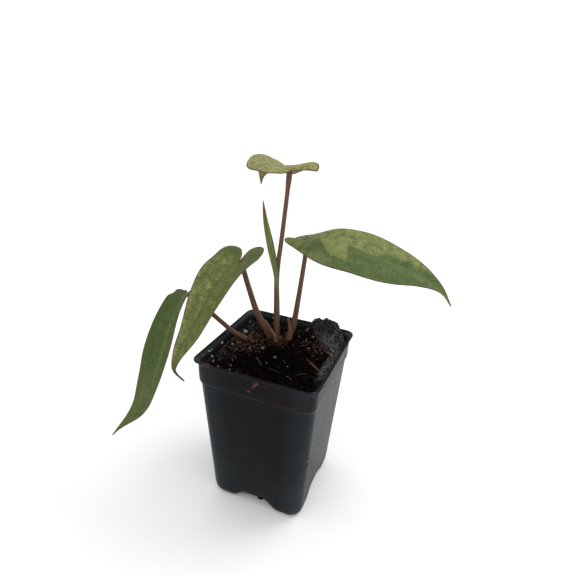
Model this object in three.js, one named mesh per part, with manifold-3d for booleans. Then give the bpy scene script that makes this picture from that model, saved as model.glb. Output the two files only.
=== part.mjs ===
// A young philodendron with four long arrow-shaped leaves and one rolled new leaf, growing
// from a short stem in a square black nursery pot filled with dark potting mix.
// Millimetres, +Z up. The origin is the centre of the pot's underside, on the surface that
// the pot stands on. The pot's sides are square to X and Y, and its front face is at -Y.

import * as THREE from "three";
import Module from "manifold-3d";
import { mergeVertices } from "three/addons/utils/BufferGeometryUtils.js";

const wasm = await Module();
wasm.setup();

// Clearance between pieces that touch on the real plant
const GAP = 0.3;

// Pot: outer sizes are half widths of the square section
const POT = {
  height: 119,
  wall: 1.1,
  base: 35.4,
  shoulder: 41.6,
  collar: 42.7,
  collarDepth: 17.5,
  lip: 44.5,
  lipDepth: 1.6,
  cornerRadius: 8.5,
  archHeight: 6.3,
  archHalfWidth: 18.5,
  archRamp: 11,
  archReach: 20,
  floor: 1.4,
  drainRadius: 2.6,
};

// Potting mix
const SOIL = {
  level: 110.5,
  mound: 3.5,
  heap: { x: 22.5, y: 41, height: 13, across: 14, deep: 9 },
  lumps: 1.1,
};

// Short stem at the soil surface that carries all the leaves, with its roots
const CROWN = { x: -8, y: 17, top: 115, radius: 6.4, depth: 15 };

const COLOURS = {
  pot: 0x26292c,
  soil: 0x1c1512,
  stem: 0x5a3a2c,
  petiole: 0x6a463b,
  bladeOld: 0x4c5e33,
  bladeMiddle: 0x66703e,
  bladeRight: 0x65784a,
  bladeTop: 0x848b5a,
  rolled: 0x6c7842,
  sheath: 0x6e4a3a,
};

// Leaf blades. midrib runs from the petiole's end to the tip. roll turns the blade about its
// midrib, and twist adds to it up to the tip. wave is the ripple of both margins: its height,
// how often it comes, and how far the right margin's is shifted. The left and right halves,
// as seen from above facing the tip, each have a width, and as shares of it their edge from
// the petiole to the tip. Behind the petiole each has a lobe with its length, how pointed it
// is, its outward spread and its rise. fold is the half's slope in degrees at the petiole and
// at the tip, and curl bends the margin down.
const BLADE = { thickness: 0.8, keel: 0.7, tip: 0.5, stations: 24, lobeStations: 6, columns: 4 };

const LEAVES = {
  right: {
    colour: COLOURS.bladeRight,
    midrib: [
      [6, 28, 191],
      [24, 19.5, 196],
      [44, 18, 194.5],
      [64, 22, 187],
      [83.5, 30, 179],
      [98.5, 37.5, 168.5],
      [108, 42.5, 155.5],
    ],
    roll: 17,
    twist: 20,
    wave: { height: 0.55, count: 2.5, shift: 0.25 },
    left: {
      width: 18.2,
      edge: [0.41, 0.84, 0.92, 0.77, 0.49, 0.24, 0.11, 0.05, 0.02],
      lobe: 15.8,
      point: 0.82,
      spread: 0.6,
      rise: -1.4,
      fold: [4, 32],
      curl: 27,
    },
    right: {
      width: 20.2,
      edge: [0.61, 1, 1, 0.76, 0.49, 0.23, 0.07, 0.03, 0.03],
      lobe: 17,
      point: 0.48,
      spread: -2.1,
      rise: 2.5,
      fold: [-0.5, 15.5],
      curl: 42,
    },
  },
  middle: {
    colour: COLOURS.bladeMiddle,
    midrib: [
      [-39, 14, 171],
      [-39, -7.5, 165.5],
      [-42, -23.5, 152.5],
      [-47, -34.5, 135.5],
      [-55.5, -39.5, 118.5],
      [-60, -40, 104],
      [-57, -34.3, 92],
    ],
    roll: -15.5,
    twist: 18.5,
    wave: { height: 0.3, count: 2.5, shift: 0.6 },
    left: {
      width: 15,
      edge: [1.12, 0.86, 0.79, 0.68, 0.46, 0.24, 0.14, 0.08, 0.03],
      lobe: 23.4,
      point: 0.46,
      spread: -3,
      rise: -1.2,
      fold: [22, 30],
      curl: -21,
    },
    right: {
      width: 16.2,
      edge: [1.08, 1.12, 0.94, 0.65, 0.4, 0.21, 0.13, 0.1, 0.05],
      lobe: 21.3,
      point: 1.25,
      spread: 0.6,
      rise: -7.2,
      fold: [8.5, 26],
      curl: 14.5,
    },
  },
  left: {
    colour: COLOURS.bladeOld,
    midrib: [
      [-72, -5, 146],
      [-71.5, -15, 145],
      [-73.5, -25, 132],
      [-75, -36, 112.5],
      [-80, -42.5, 90],
      [-91.5, -45.5, 63],
      [-117, -48.5, 32],
    ],
    roll: 25,
    twist: -28.5,
    wave: { height: 0.55, count: 2.5, shift: 0.38 },
    left: {
      width: 13.8,
      edge: [0.73, 0.92, 0.91, 0.74, 0.45, 0.18, 0.05, 0.04, 0.03],
      lobe: 15.9,
      point: 0.74,
      spread: 2.8,
      rise: 3,
      fold: [16.5, 17],
      curl: 8,
    },
    right: {
      width: 14.7,
      edge: [0.72, 0.91, 0.88, 0.69, 0.43, 0.24, 0.12, 0.04, 0.02],
      lobe: 10.3,
      point: 0.76,
      spread: 3.9,
      rise: -4.4,
      fold: [15.5, 11],
      curl: -20,
    },
  },
  top: {
    colour: COLOURS.bladeTop,
    midrib: [
      [-3, 14, 238],
      [-30.5, 49.5, 235.5],
      [-44.5, 78.5, 236],
      [-58.5, 98.5, 229],
      [-69, 111, 208],
    ],
    roll: -11,
    twist: 61.5,
    wave: { height: 0.35, count: 2.5, shift: 0.24 },
    left: {
      width: 18.5,
      edge: [0.92, 1.03, 1.03, 0.88, 0.64, 0.4, 0.2, 0.06, 0.03],
      lobe: 9.3,
      point: 0.69,
      spread: 0.3,
      rise: -1.6,
      fold: [37.5, -16],
      curl: 66,
    },
    right: {
      width: 20.3,
      edge: [0.83, 0.92, 0.94, 0.91, 0.69, 0.34, 0.08, 0.03, 0.03],
      lobe: 19,
      point: 0.8,
      spread: 3.7,
      rise: -3.1,
      fold: [33, -6.5],
      curl: 59,
    },
  },
};

// Petioles: centre line from the crown to the blade, and radii at both ends
const PETIOLES = {
  right: {
    path: [
      [-2, 19, 109],
      [0, 20.4, 116],
      [2.5, 22, 126],
      [4.1, 24, 145],
      [5.4, 26, 164],
      [6.3, 27.5, 180],
      [6.1, 27.8, 191],
    ],
    base: 3,
    end: 1.7,
  },
  middle: {
    path: [
      [-11, 16, 109],
      [-14, 15, 117],
      [-23, 13.9, 131],
      [-30.5, 13.9, 150],
      [-35.5, 14.2, 164],
      [-38.8, 14.4, 171],
    ],
    base: 3.4,
    end: 2,
  },
  left: {
    path: [
      [-13, 13, 108],
      [-24.7, 7.8, 111.4],
      [-36.9, 2.6, 118.5],
      [-44.2, 0.3, 124.8],
      [-52.3, -1.6, 131.6],
      [-62.1, -3.2, 139],
      [-71.6, -4.7, 145.6],
    ],
    base: 2.2,
    end: 1.65,
  },
  top: {
    path: [
      [-8.5, 17.5, 109],
      [-8.9, 16.8, 120],
      [-9.2, 16, 140],
      [-9.5, 14.8, 160],
      [-8.9, 14.6, 174],
      [-7.5, 14.5, 187],
      [-5.7, 14.3, 206],
      [-4, 14, 226],
      [-3.1, 13.8, 238],
    ],
    base: 3,
    end: 1.53,
  },
};
const PETIOLE = { sides: 10, steps: 14 };

// Rolled new leaf, on a stalk that stands in the groove of the tallest petiole
const ROLLED = {
  path: [
    [-7.9, 15.2, 113],
    [-8.1, 15, 126],
    [-8.4, 14, 147],
    [-8.9, 13.2, 159],
    [-10.1, 12.4, 170],
    [-13.4, 10.3, 188],
    [-16.5, 8.2, 205],
    [-18, 7, 218.6],
  ],
  stalk: 1.25,
  widest: 2.2,
  widestAt: 0.68,
  startAt: 0.42,
  sides: 12,
  steps: 22,
  overlap: 0.35,
};

// Dry remains of old sheaths beside two of the petioles
const SHEATHS = {
  sheath_middle: {
    path: [
      [-6.5, 12, 111],
      [-7.9, 11.2, 118.5],
      [-11.5, 10.8, 124.3],
      [-15.2, 10.5, 130.2],
    ],
    base: 1.6,
    end: 0.6,
  },
  sheath_right: {
    path: [
      [1.2, 18.6, 112],
      [1.2, 18.7, 121.3],
      [0.5, 18.4, 127.1],
      [-0.3, 18.1, 132.5],
    ],
    base: 1.7,
    end: 0.8,
  },
};

const radians = THREE.MathUtils.degToRad;

function geometryOf(points, triangles) {
  const geometry = new THREE.BufferGeometry();
  const position = new THREE.Float32BufferAttribute(points.flatMap((p) => [p.x, p.y, p.z]), 3);
  geometry.setAttribute("position", position);
  geometry.setIndex(triangles.flat());
  return geometry;
}

function solidOf(geometry) {
  const bare = geometry.clone();
  for (const name of Object.keys(bare.attributes)) {
    if (name !== "position") bare.deleteAttribute(name);
  }
  const merged = mergeVertices(bare, 1e-4);
  return new wasm.Manifold(
    new wasm.Mesh({
      numProp: 3,
      vertProperties: new Float32Array(merged.attributes.position.array),
      triVerts: new Uint32Array(merged.index.array),
    }),
  );
}

function geometryFrom(solid) {
  const mesh = solid.getMesh();
  const geometry = new THREE.BufferGeometry();
  const position = new THREE.BufferAttribute(new Float32Array(mesh.vertProperties), 3);
  geometry.setAttribute("position", position);
  geometry.setIndex(new THREE.BufferAttribute(new Uint32Array(mesh.triVerts), 1));
  return geometry;
}

// The largest piece that a cut leaves
function largest(solid) {
  return solid.decompose().reduce((a, b) => (b.volume() > a.volume() ? b : a));
}

// Positions, tangents and side-to-side frames along a smooth line through the given points
function frameAlong(path, firstNormal, count) {
  const knots = path.map((p) => new THREE.Vector3(...p));
  const curve = new THREE.CatmullRomCurve3(knots, false, "catmullrom", 0.5);
  curve.arcLengthDivisions = 400;
  const frames = [];
  let normal = firstNormal.clone();
  for (let i = 0; i <= count; i++) {
    const tangent = curve.getTangentAt(i / count);
    normal = normal.clone().addScaledVector(tangent, -normal.dot(tangent)).normalize();
    frames.push({ point: curve.getPointAt(i / count), tangent, normal });
  }
  return { frames, length: curve.getLength() };
}

// A tube along a path: radius(s) and a factor shape(angle) give its section
function sweep(path, sides, steps, radius, shape = () => 1, turn = 0) {
  const { frames } = frameAlong(path, new THREE.Vector3(1, 0, 0.01), steps);
  const points = [];
  const triangles = [];
  frames.forEach(({ point, tangent, normal }, i) => {
    const side = tangent.clone().cross(normal);
    for (let k = 0; k < sides; k++) {
      const around = k / sides;
      const angle = 2 * Math.PI * (around + (turn * i) / steps);
      const r = radius(i / steps) * shape(around);
      const rim = point.clone().addScaledVector(normal, r * Math.cos(angle));
      points.push(rim.addScaledVector(side, r * Math.sin(angle)));
    }
  });
  for (let i = 0; i < steps; i++) {
    for (let k = 0; k < sides; k++) {
      const a = i * sides + k;
      const b = i * sides + ((k + 1) % sides);
      triangles.push([a, b, b + sides], [a, b + sides, a + sides]);
    }
  }
  const last = steps * sides;
  points.push(frames[0].point.clone(), frames[steps].point.clone());
  for (let k = 0; k < sides; k++) {
    const next = (k + 1) % sides;
    triangles.push([points.length - 2, next, k], [points.length - 1, last + k, last + next]);
  }
  return geometryOf(points, triangles);
}

// Pot

// Places of the points along each straight side of the rounded square
const SIDE_POINTS = [-1, -0.69, -0.58, -0.48, -0.37, -0.28, 0.28, 0.37, 0.48, 0.58, 0.69];

// One ring of the pot's rounded square, raised by raise(distance from the side's middle)
function squareRing(half, corner, z, raise = () => 0) {
  const points = [];
  const arc = 5;
  for (let side = 0; side < 4; side++) {
    const turn = new THREE.Matrix4().makeRotationZ((side * Math.PI) / 2);
    const ring = SIDE_POINTS.map((share) => [(half - corner) * share, -half]);
    for (let k = 0; k < arc; k++) {
      const angle = -Math.PI / 2 + ((k / arc) * Math.PI) / 2;
      ring.push([half - corner + corner * Math.cos(angle), -half + corner + corner * Math.sin(angle)]);
    }
    for (const [x, y] of ring) {
      const raised = z + raise(Math.min(Math.abs(x), Math.abs(y)));
      points.push(new THREE.Vector3(x, y, raised).applyMatrix4(turn));
    }
  }
  return points;
}

// A closed body through a stack of rings, with flat ends
function loft(rings) {
  const count = rings[0].length;
  const points = rings.flat();
  const triangles = [];
  for (let i = 0; i + 1 < rings.length; i++) {
    for (let k = 0; k < count; k++) {
      const a = i * count + k;
      const b = i * count + ((k + 1) % count);
      triangles.push([a, b, b + count], [a, b + count, a + count]);
    }
  }
  const top = (rings.length - 1) * count;
  const middle = (ring) => {
    return ring.reduce((sum, p) => sum.add(p), new THREE.Vector3()).divideScalar(count);
  };
  points.push(middle(rings[0]), middle(rings.at(-1)));
  for (let k = 0; k < count; k++) {
    const next = (k + 1) % count;
    triangles.push([points.length - 2, next, k], [points.length - 1, top + k, top + next]);
  }
  return geometryOf(points, triangles);
}

const smooth = (t) => {
  const c = Math.min(1, Math.max(0, t));
  return c * c * (3 - 2 * c);
};

// Height of the underside above the ground: four corner feet, with an arch between each two
// that runs out towards the middle of the underside and fades up the wall
function archRaise(half, z) {
  const fade = 1 - smooth(z / 20);
  const inwards = smooth((half - (POT.base - POT.archReach)) / POT.archReach);
  return (u) => POT.archHeight * smooth((POT.archHalfWidth - u) / POT.archRamp) * inwards * fade;
}

function potGeometry() {
  const shoulderZ = POT.height - POT.collarDepth;
  const corner = POT.cornerRadius;
  const ring = (half, z, radius = corner) => {
    return squareRing(half, Math.min(radius, half * 0.6), z, archRaise(half, z));
  };
  const outside = [
    ring(9, 0),
    ring(18, 0),
    ring(24, 0),
    ring(30, 0),
    ring(POT.base - 2.6, 0),
    ring(POT.base - 0.8, 0.8),
    ring(POT.base, 3),
    ring(POT.base + 0.5, 9),
    ring(POT.base + 1, 18),
    ring(POT.shoulder, shoulderZ - 1),
    ring(POT.collar - 0.3, shoulderZ + 0.6),
    ring(POT.collar, shoulderZ + 2.4),
    ring(POT.collar + 0.2, POT.height - POT.lipDepth - 1.2),
    ring(POT.lip - 0.4, POT.height - POT.lipDepth + 0.1, corner + 1),
    ring(POT.lip, POT.height - POT.lipDepth / 2, corner + 1),
    ring(POT.lip - 0.5, POT.height, corner + 1),
  ];
  const inside = [
    [POT.height + 1, POT.collar - POT.wall + 0.2],
    [POT.height - POT.lipDepth, POT.collar - POT.wall],
    [shoulderZ + 2.4, POT.collar - POT.wall],
    [shoulderZ - 1, POT.shoulder - POT.wall],
    [18, POT.base + 1 - POT.wall],
    [9 + POT.floor, POT.base + 0.5 - POT.wall],
    [3 + POT.floor, POT.base - POT.wall],
    [0.8 + POT.floor, POT.base - 1.2 - POT.wall],
    [POT.floor, POT.base - 3.6],
    [POT.floor, 26],
    [POT.floor, 18],
    [POT.floor, 9],
  ].map(([z, half]) => {
    const radius = Math.min(corner - POT.wall, half * 0.6);
    return squareRing(half, radius, z, archRaise(half + POT.wall, z - POT.floor));
  });
  let pot = solidOf(loft(outside)).subtract(solidOf(loft(inside.reverse())));
  const drain = new THREE.CylinderGeometry(POT.drainRadius, POT.drainRadius, 14, 10);
  drain.rotateX(Math.PI / 2);
  for (const x of [-1, 1]) {
    for (const y of [-1, 1]) {
      pot = pot.subtract(solidOf(drain.clone().translate(x * 22, y * 22, 0)));
    }
  }
  for (let side = 0; side < 4; side++) {
    const slot = drain.clone().scale(1.5, 1, 1).translate(0, -POT.base + 8, 4);
    pot = pot.subtract(solidOf(slot.rotateZ((side * Math.PI) / 2)));
  }
  return geometryFrom(pot);
}

// Soil

// Smooth bumps that repeat the same way on every run
function lumps(x, y) {
  return (
    Math.sin(x * 0.9 + 1.3 * Math.sin(y * 0.55)) * Math.cos(y * 0.8 - 0.9 * Math.sin(x * 0.4)) * 0.6 +
    Math.sin(x * 0.37 + y * 0.21 + 2) * 0.5 +
    Math.cos(y * 1.7 + x * 0.6) * 0.25
  );
}

function soilTop(x, y) {
  const fromCrown = Math.hypot(x - CROWN.x, y - CROWN.y);
  const mound = SOIL.mound * Math.exp(-((fromCrown / 17) ** 2));
  const { heap } = SOIL;
  const away = ((x - heap.x) / heap.across) ** 4 + ((y - heap.y) / heap.deep) ** 2;
  return SOIL.level + mound + heap.height * Math.exp(-away) + SOIL.lumps * lumps(x, y);
}

function soilGeometry(taken) {
  const inset = POT.wall + GAP;
  const corner = POT.cornerRadius - inset;
  const under = [
    [9, POT.floor + GAP],
    [18, POT.floor + GAP],
    [26, POT.floor + GAP],
    [POT.base - 3.6 - GAP, POT.floor + GAP],
    [POT.base - 1.2 - inset, 0.8 + POT.floor + GAP],
    [POT.base - inset, 3 + POT.floor + GAP],
    [POT.base + 0.5 - inset, 9 + POT.floor + GAP],
    [POT.base + 1 - inset, 18],
    [POT.shoulder - inset, POT.height - POT.collarDepth - 1],
  ].map(([half, z]) => {
    const raise = archRaise(half + inset, z - POT.floor - GAP);
    return squareRing(half, Math.min(corner, half * 0.6), z, raise);
  });
  const over = [];
  const steps = 11;
  const widest = POT.collar - inset - 0.2;
  for (let i = 0; i <= steps; i++) {
    const half = widest * (1 - (i / steps) ** 1.15 * 0.97);
    const ring = squareRing(half, Math.min(corner, half * 0.6), 0);
    ring.forEach((p) => p.setZ(soilTop(p.x, p.y) - (i === 0 ? 1.2 : 0)));
    over.push(ring);
  }
  const soil = solidOf(loft([...under, ...over]));
  return geometryFrom(largest(soil.subtract(taken)));
}

// Crown and roots

function crownSolid(grow = 0) {
  const height = CROWN.depth;
  const rings = [0.35, 0.8, 1, 0.95, 0.8, 0.45].map((r, i, all) => {
    const z = CROWN.top - height + (i / (all.length - 1)) * height;
    const stretch = i === 0 ? -grow : i === all.length - 1 ? grow : 0;
    return new THREE.Vector2(r * CROWN.radius + grow, z + stretch);
  });
  const [lowest, highest] = [rings[0].y, rings.at(-1).y];
  const profile = [new THREE.Vector2(0, lowest), ...rings, new THREE.Vector2(0, highest)];
  const body = new THREE.LatheGeometry(profile, 16).rotateX(Math.PI / 2);
  let solid = solidOf(body.translate(CROWN.x, CROWN.y, 0));
  const roots = 6;
  for (let k = 0; k < roots; k++) {
    const angle = (2 * Math.PI * (k + 0.3)) / roots;
    const reach = 15 + 3 * Math.sin(k * 2.1);
    const at = (share, z) => {
      const out = share * reach;
      return [CROWN.x + out * Math.cos(angle), CROWN.y + out * Math.sin(angle), z];
    };
    const start = CROWN.top - height + 4;
    const path = [at(0.05, start), at(0.5, 92), at(0.8, 72 - 4 * (k % 3)), at(1, 48 - 5 * (k % 2))];
    const root = sweep(path, 8, 8, (s) => 1.5 - 0.9 * s + grow);
    solid = solid.add(solidOf(root));
  }
  return solid;
}

// Leaves

// Smooth value through evenly spaced values, at t from 0 to 1
function through(values, t) {
  const last = values.length - 1;
  const at = THREE.MathUtils.clamp(t, 0, 1) * last;
  const i = Math.min(last - 1, Math.floor(at));
  const u = at - i;
  const a = i > 0 ? values[i - 1] : 2 * values[0] - values[1];
  const [b, c] = [values[i], values[i + 1]];
  const d = values[Math.min(last, i + 2)];
  return b + 0.5 * u * (c - a + u * (2 * a - 5 * b + 4 * c - d + u * (3 * (b - c) + d - a)));
}

// Edges of one half of the flat blade at a distance x along the midrib, which is negative in
// the lobe behind the petiole. The edge's values lie closer together towards the tip, and the
// lobe's margin sets out at the slope of the blade's.
function halfEdges(half, length, x) {
  if (x < 0) {
    const waist = half.width * half.edge[0];
    const slope = (16 * half.width * (half.edge[1] - half.edge[0])) / (Math.PI * length);
    const back = Math.min(0.97, -x / half.lobe);
    const reach = (waist / 2) * (1 - back ** 2) ** half.point;
    const centre = waist / 2 + half.spread * back;
    return [Math.max(0, centre - reach), centre + reach + slope * x * (1 - back)];
  }
  const share = through(half.edge, (2 / Math.PI) * Math.asin(Math.min(1, x / length)));
  return [0, Math.max(BLADE.tip, half.width * share)];
}

// The blade's mid surface, with the depth of the midrib's keel at each point
function bladeSurface(leaf) {
  const count = 60;
  const { frames, length } = frameAlong(leaf.midrib, new THREE.Vector3(0, 0, 1), count);

  // Point on the midrib, upward normal and leftward side, at a distance x from the petiole
  const frameAt = (x) => {
    const at = THREE.MathUtils.clamp(x / length, 0, 1) * count;
    const i = Math.min(count - 1, Math.floor(at));
    const blend = (key) => frames[i][key].clone().lerp(frames[i + 1][key], at - i);
    const tangent = blend("tangent").normalize();
    const roll = radians(leaf.roll + leaf.twist * Math.max(0, x / length));
    const normal = blend("normal").normalize().applyAxisAngle(tangent, roll);
    const point = blend("point").addScaledVector(tangent, Math.min(0, x));
    return { point, normal, side: normal.clone().cross(tangent) };
  };

  const place = (x, y, half, sign) => {
    const { point, normal, side } = frameAt(x);
    const share = y / half.width;
    const along = THREE.MathUtils.clamp(x / length, 0, 1);
    const fold = THREE.MathUtils.lerp(half.fold[0], half.fold[1], along);
    const angle = radians(fold - (half.curl * share) / 2);
    const phase = (leaf.wave.count * x) / length + (sign > 0 ? 0 : leaf.wave.shift);
    const ripple = leaf.wave.height * share ** 2 * Math.sin(2 * Math.PI * phase);
    const rise = half.rise * Math.max(0, -x / half.lobe) ** 3;
    point.addScaledVector(side, sign * y * Math.cos(angle));
    return point.addScaledVector(normal, y * Math.sin(angle) + ripple + rise);
  };

  const points = [];
  const keel = [];
  const triangles = [];
  const columns = BLADE.columns;
  const addPoint = (x, inner, outer, share, half, sign) => {
    points.push(place(x, inner + (outer - inner) * share, half, sign));
    keel.push(share === 0 && x >= 0 ? BLADE.keel * (1 - x / length) : 0);
    return points.length - 1;
  };
  const quad = (a, b, c, d) => triangles.push([a, b, c], [a, c, d]);
  const halves = [
    [1, leaf.left],
    [-1, leaf.right],
  ];
  const rows = [];
  for (let i = 0; i <= BLADE.stations; i++) {
    const t = i / BLADE.stations;
    const x = length * (0.6 * t + 0.4 * Math.sin((t * Math.PI) / 2));
    const row = [];
    row[columns] = addPoint(x, 0, 0, 0, leaf.left, 1);
    for (const [sign, half] of halves) {
      const [, outer] = halfEdges(half, length, x);
      for (let k = 1; k <= columns; k++) {
        row[columns - sign * k] = addPoint(x, 0, outer, k / columns, half, sign);
      }
    }
    rows.push(row);
  }
  for (let i = 0; i < BLADE.stations; i++) {
    for (let k = 0; k < 2 * columns; k++) {
      quad(rows[i][k + 1], rows[i][k], rows[i + 1][k], rows[i + 1][k + 1]);
    }
  }
  for (const [sign, half] of halves) {
    let ahead = Array.from({ length: columns + 1 }, (_, k) => rows[0][columns - sign * k]);
    for (let i = 1; i <= BLADE.lobeStations; i++) {
      const x = -half.lobe * Math.sin(((i / BLADE.lobeStations) * Math.PI) / 2);
      const [inner, outer] = halfEdges(half, length, x);
      const row = ahead.map((_, k) => addPoint(x, inner, outer, k / columns, half, sign));
      for (let k = 0; k < columns; k++) {
        if (sign > 0) quad(ahead[k], row[k], row[k + 1], ahead[k + 1]);
        else quad(ahead[k + 1], row[k + 1], row[k], ahead[k]);
      }
      ahead = row;
    }
  }
  return { points, keel, triangles };
}

// A closed solid on both sides of a surface, with the keel added below
function thicken({ points, keel, triangles }, thickness) {
  const normals = points.map(() => new THREE.Vector3());
  for (const [a, b, c] of triangles) {
    const face = points[b].clone().sub(points[a]).cross(points[c].clone().sub(points[a]));
    for (const i of [a, b, c]) normals[i].add(face);
  }
  normals.forEach((n) => n.normalize());
  const above = points.map((p, i) => p.clone().addScaledVector(normals[i], thickness / 2));
  const below = points.map((p, i) => p.clone().addScaledVector(normals[i], -thickness / 2 - keel[i]));
  const n = points.length;
  const faces = [];
  const open = new Map();
  for (const [a, b, c] of triangles) {
    faces.push([a, b, c], [n + a, n + c, n + b]);
    for (const [from, to] of [[a, b], [b, c], [c, a]]) {
      if (!open.delete(`${to}_${from}`)) open.set(`${from}_${to}`, [from, to]);
    }
  }
  for (const [from, to] of open.values()) faces.push([to, from, n + from], [to, n + from, n + to]);
  return geometryOf([...above, ...below], faces);
}

function petioleSolid({ path, base, end }, grow = 0) {
  const radius = (s) => end + (base - end) * (1 - s) ** 2.6 + grow;
  return solidOf(sweep(path, PETIOLE.sides, PETIOLE.steps, radius));
}

// The stalk widens into the rolled blade, whose section is a spiral with one overlapping edge
function rolledSolid(grow = 0) {
  const { stalk, widest, startAt, widestAt, overlap } = ROLLED;
  const radius = (s) => {
    const opening = smooth((s - startAt) / (widestAt - startAt));
    const closing = Math.cos((Math.PI / 2) * Math.max(0, (s - widestAt) / (1 - widestAt)));
    const blade = s < widestAt ? widest : widest * closing ** 0.9;
    return stalk + (blade + 0.25 - stalk) * opening + grow;
  };
  const spiral = (around) => 1 + overlap * (around - 0.5);
  return solidOf(sweep(ROLLED.path, ROLLED.sides, ROLLED.steps, radius, spiral, 0.4));
}

function sheathSolid({ path, base, end }, grow = 0) {
  return solidOf(sweep(path, 8, 6, (s) => THREE.MathUtils.lerp(base, end, s) + grow));
}

// Assembly
const plant = new THREE.Group();

function addMesh(name, geometry, colour, roughness) {
  const flat = geometry.index ? geometry.toNonIndexed() : geometry;
  flat.computeVertexNormals();
  const material = new THREE.MeshStandardMaterial({ color: colour, roughness, metalness: 0 });
  const mesh = new THREE.Mesh(flat, material);
  mesh.name = name;
  plant.add(mesh);
  return mesh;
}

addMesh("pot", potGeometry(), COLOURS.pot, 0.5);
addMesh("crown", geometryFrom(crownSolid()), COLOURS.stem, 0.8);

// Room taken so far: each stalk that follows is cut back to stand clear of it
let taken = crownSolid(GAP);
const rolled = largest(rolledSolid().subtract(taken));
addMesh("rolled_leaf", geometryFrom(rolled), COLOURS.rolled, 0.45);
taken = taken.add(rolledSolid(GAP));
for (const name of ["top", "middle", "left", "right"]) {
  const leaf = LEAVES[name];
  const surface = bladeSurface(leaf);
  addMesh(`blade_${name}`, thicken(surface, BLADE.thickness), leaf.colour, 0.45);
  const bladeRoom = solidOf(thicken(surface, BLADE.thickness + 2 * GAP));
  const petiole = petioleSolid(PETIOLES[name]).subtract(taken).subtract(bladeRoom);
  addMesh(`petiole_${name}`, geometryFrom(largest(petiole)), COLOURS.petiole, 0.5);
  taken = taken.add(petioleSolid(PETIOLES[name], GAP));
}
for (const [name, sheath] of Object.entries(SHEATHS)) {
  addMesh(name, geometryFrom(largest(sheathSolid(sheath).subtract(taken))), COLOURS.sheath, 0.7);
  taken = taken.add(sheathSolid(sheath, GAP));
}
addMesh("soil", soilGeometry(taken), COLOURS.soil, 1);

export default plant;
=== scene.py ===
"""A young philodendron with variegated arrow-shaped leaves in a square black nursery pot.

Lengths are in millimetres until a mesh is made, which is in metres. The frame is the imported
model's: +Z up, the origin under the middle of the pot, the pot's front face at -Y.
"""

from functools import reduce

import bmesh
import bpy
import numpy as np
from mathutils import Matrix, Vector


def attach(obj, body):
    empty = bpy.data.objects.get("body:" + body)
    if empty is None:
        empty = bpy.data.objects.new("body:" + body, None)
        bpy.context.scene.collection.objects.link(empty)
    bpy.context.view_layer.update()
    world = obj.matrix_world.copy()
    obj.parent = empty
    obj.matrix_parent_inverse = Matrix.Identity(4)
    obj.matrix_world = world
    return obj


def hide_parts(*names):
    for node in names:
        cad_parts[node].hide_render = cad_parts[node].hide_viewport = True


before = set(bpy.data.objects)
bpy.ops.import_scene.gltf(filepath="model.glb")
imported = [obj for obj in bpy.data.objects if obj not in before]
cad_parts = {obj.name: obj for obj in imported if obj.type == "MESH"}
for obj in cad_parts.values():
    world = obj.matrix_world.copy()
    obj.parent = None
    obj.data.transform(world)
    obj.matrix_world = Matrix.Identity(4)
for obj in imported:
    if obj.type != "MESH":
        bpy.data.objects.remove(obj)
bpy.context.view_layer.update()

MM = 0.001
BODY = "root"

# Camera of the photograph: its place, its axes as seen in the room, and its focal length in
# pixels of a square frame
FRAME_PIXELS = 576
FOCAL_PIXELS = 448.278
SENSOR = 36
CAMERA_PLACE = np.array([104.832, -256.156, 282.364])
CAMERA_RIGHT = np.array([0.92357, 0.38063, 0.04617])
CAMERA_UP = np.array([-0.18996, 0.34963, 0.91743])
CAMERA_BACK = np.array([0.33306, -0.85608, 0.39521])

# Pot: all sizes across it are half widths of its square section
POT_HEIGHT = 119
POT_WALL = 1.1
POT_FLOOR = 1.4
POT_BASE = 35.4
POT_SHOULDER = 41.6
POT_COLLAR = 42.7
COLLAR_DEPTH = 17.5
POT_LIP = 44.5
CORNER_RADIUS = 8.5
LIP = {"from": 117, "tighter": 2}
ARCH_HEIGHT = 6.3
ARCH_HALF_WIDTH = 18.5
ARCH_RAMP = 11
ARCH_REACH = 20
ARCH_FADE = 20
DRAIN_RADIUS = 2.6
DRAIN_SPREAD = 22
ARCH_DRAIN = {"inset": 8, "height": 4, "stretch": 1.5}

# Potting mix, as in the solid, and how much higher its loose crumbs make the heap
SOIL_LEVEL = 110.5
SOIL_MOUND = 3.5
MOUND_ACROSS = 17
SOIL_LUMPS = 1.1
HEAP = {"x": 22.5, "y": 41, "height": 13, "across": 14, "deep": 9}
LOOSE_CRUMBS = 1.2

CROWN = {"x": -8, "y": 17, "top": 115, "radius": 6.4, "depth": 15}

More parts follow.
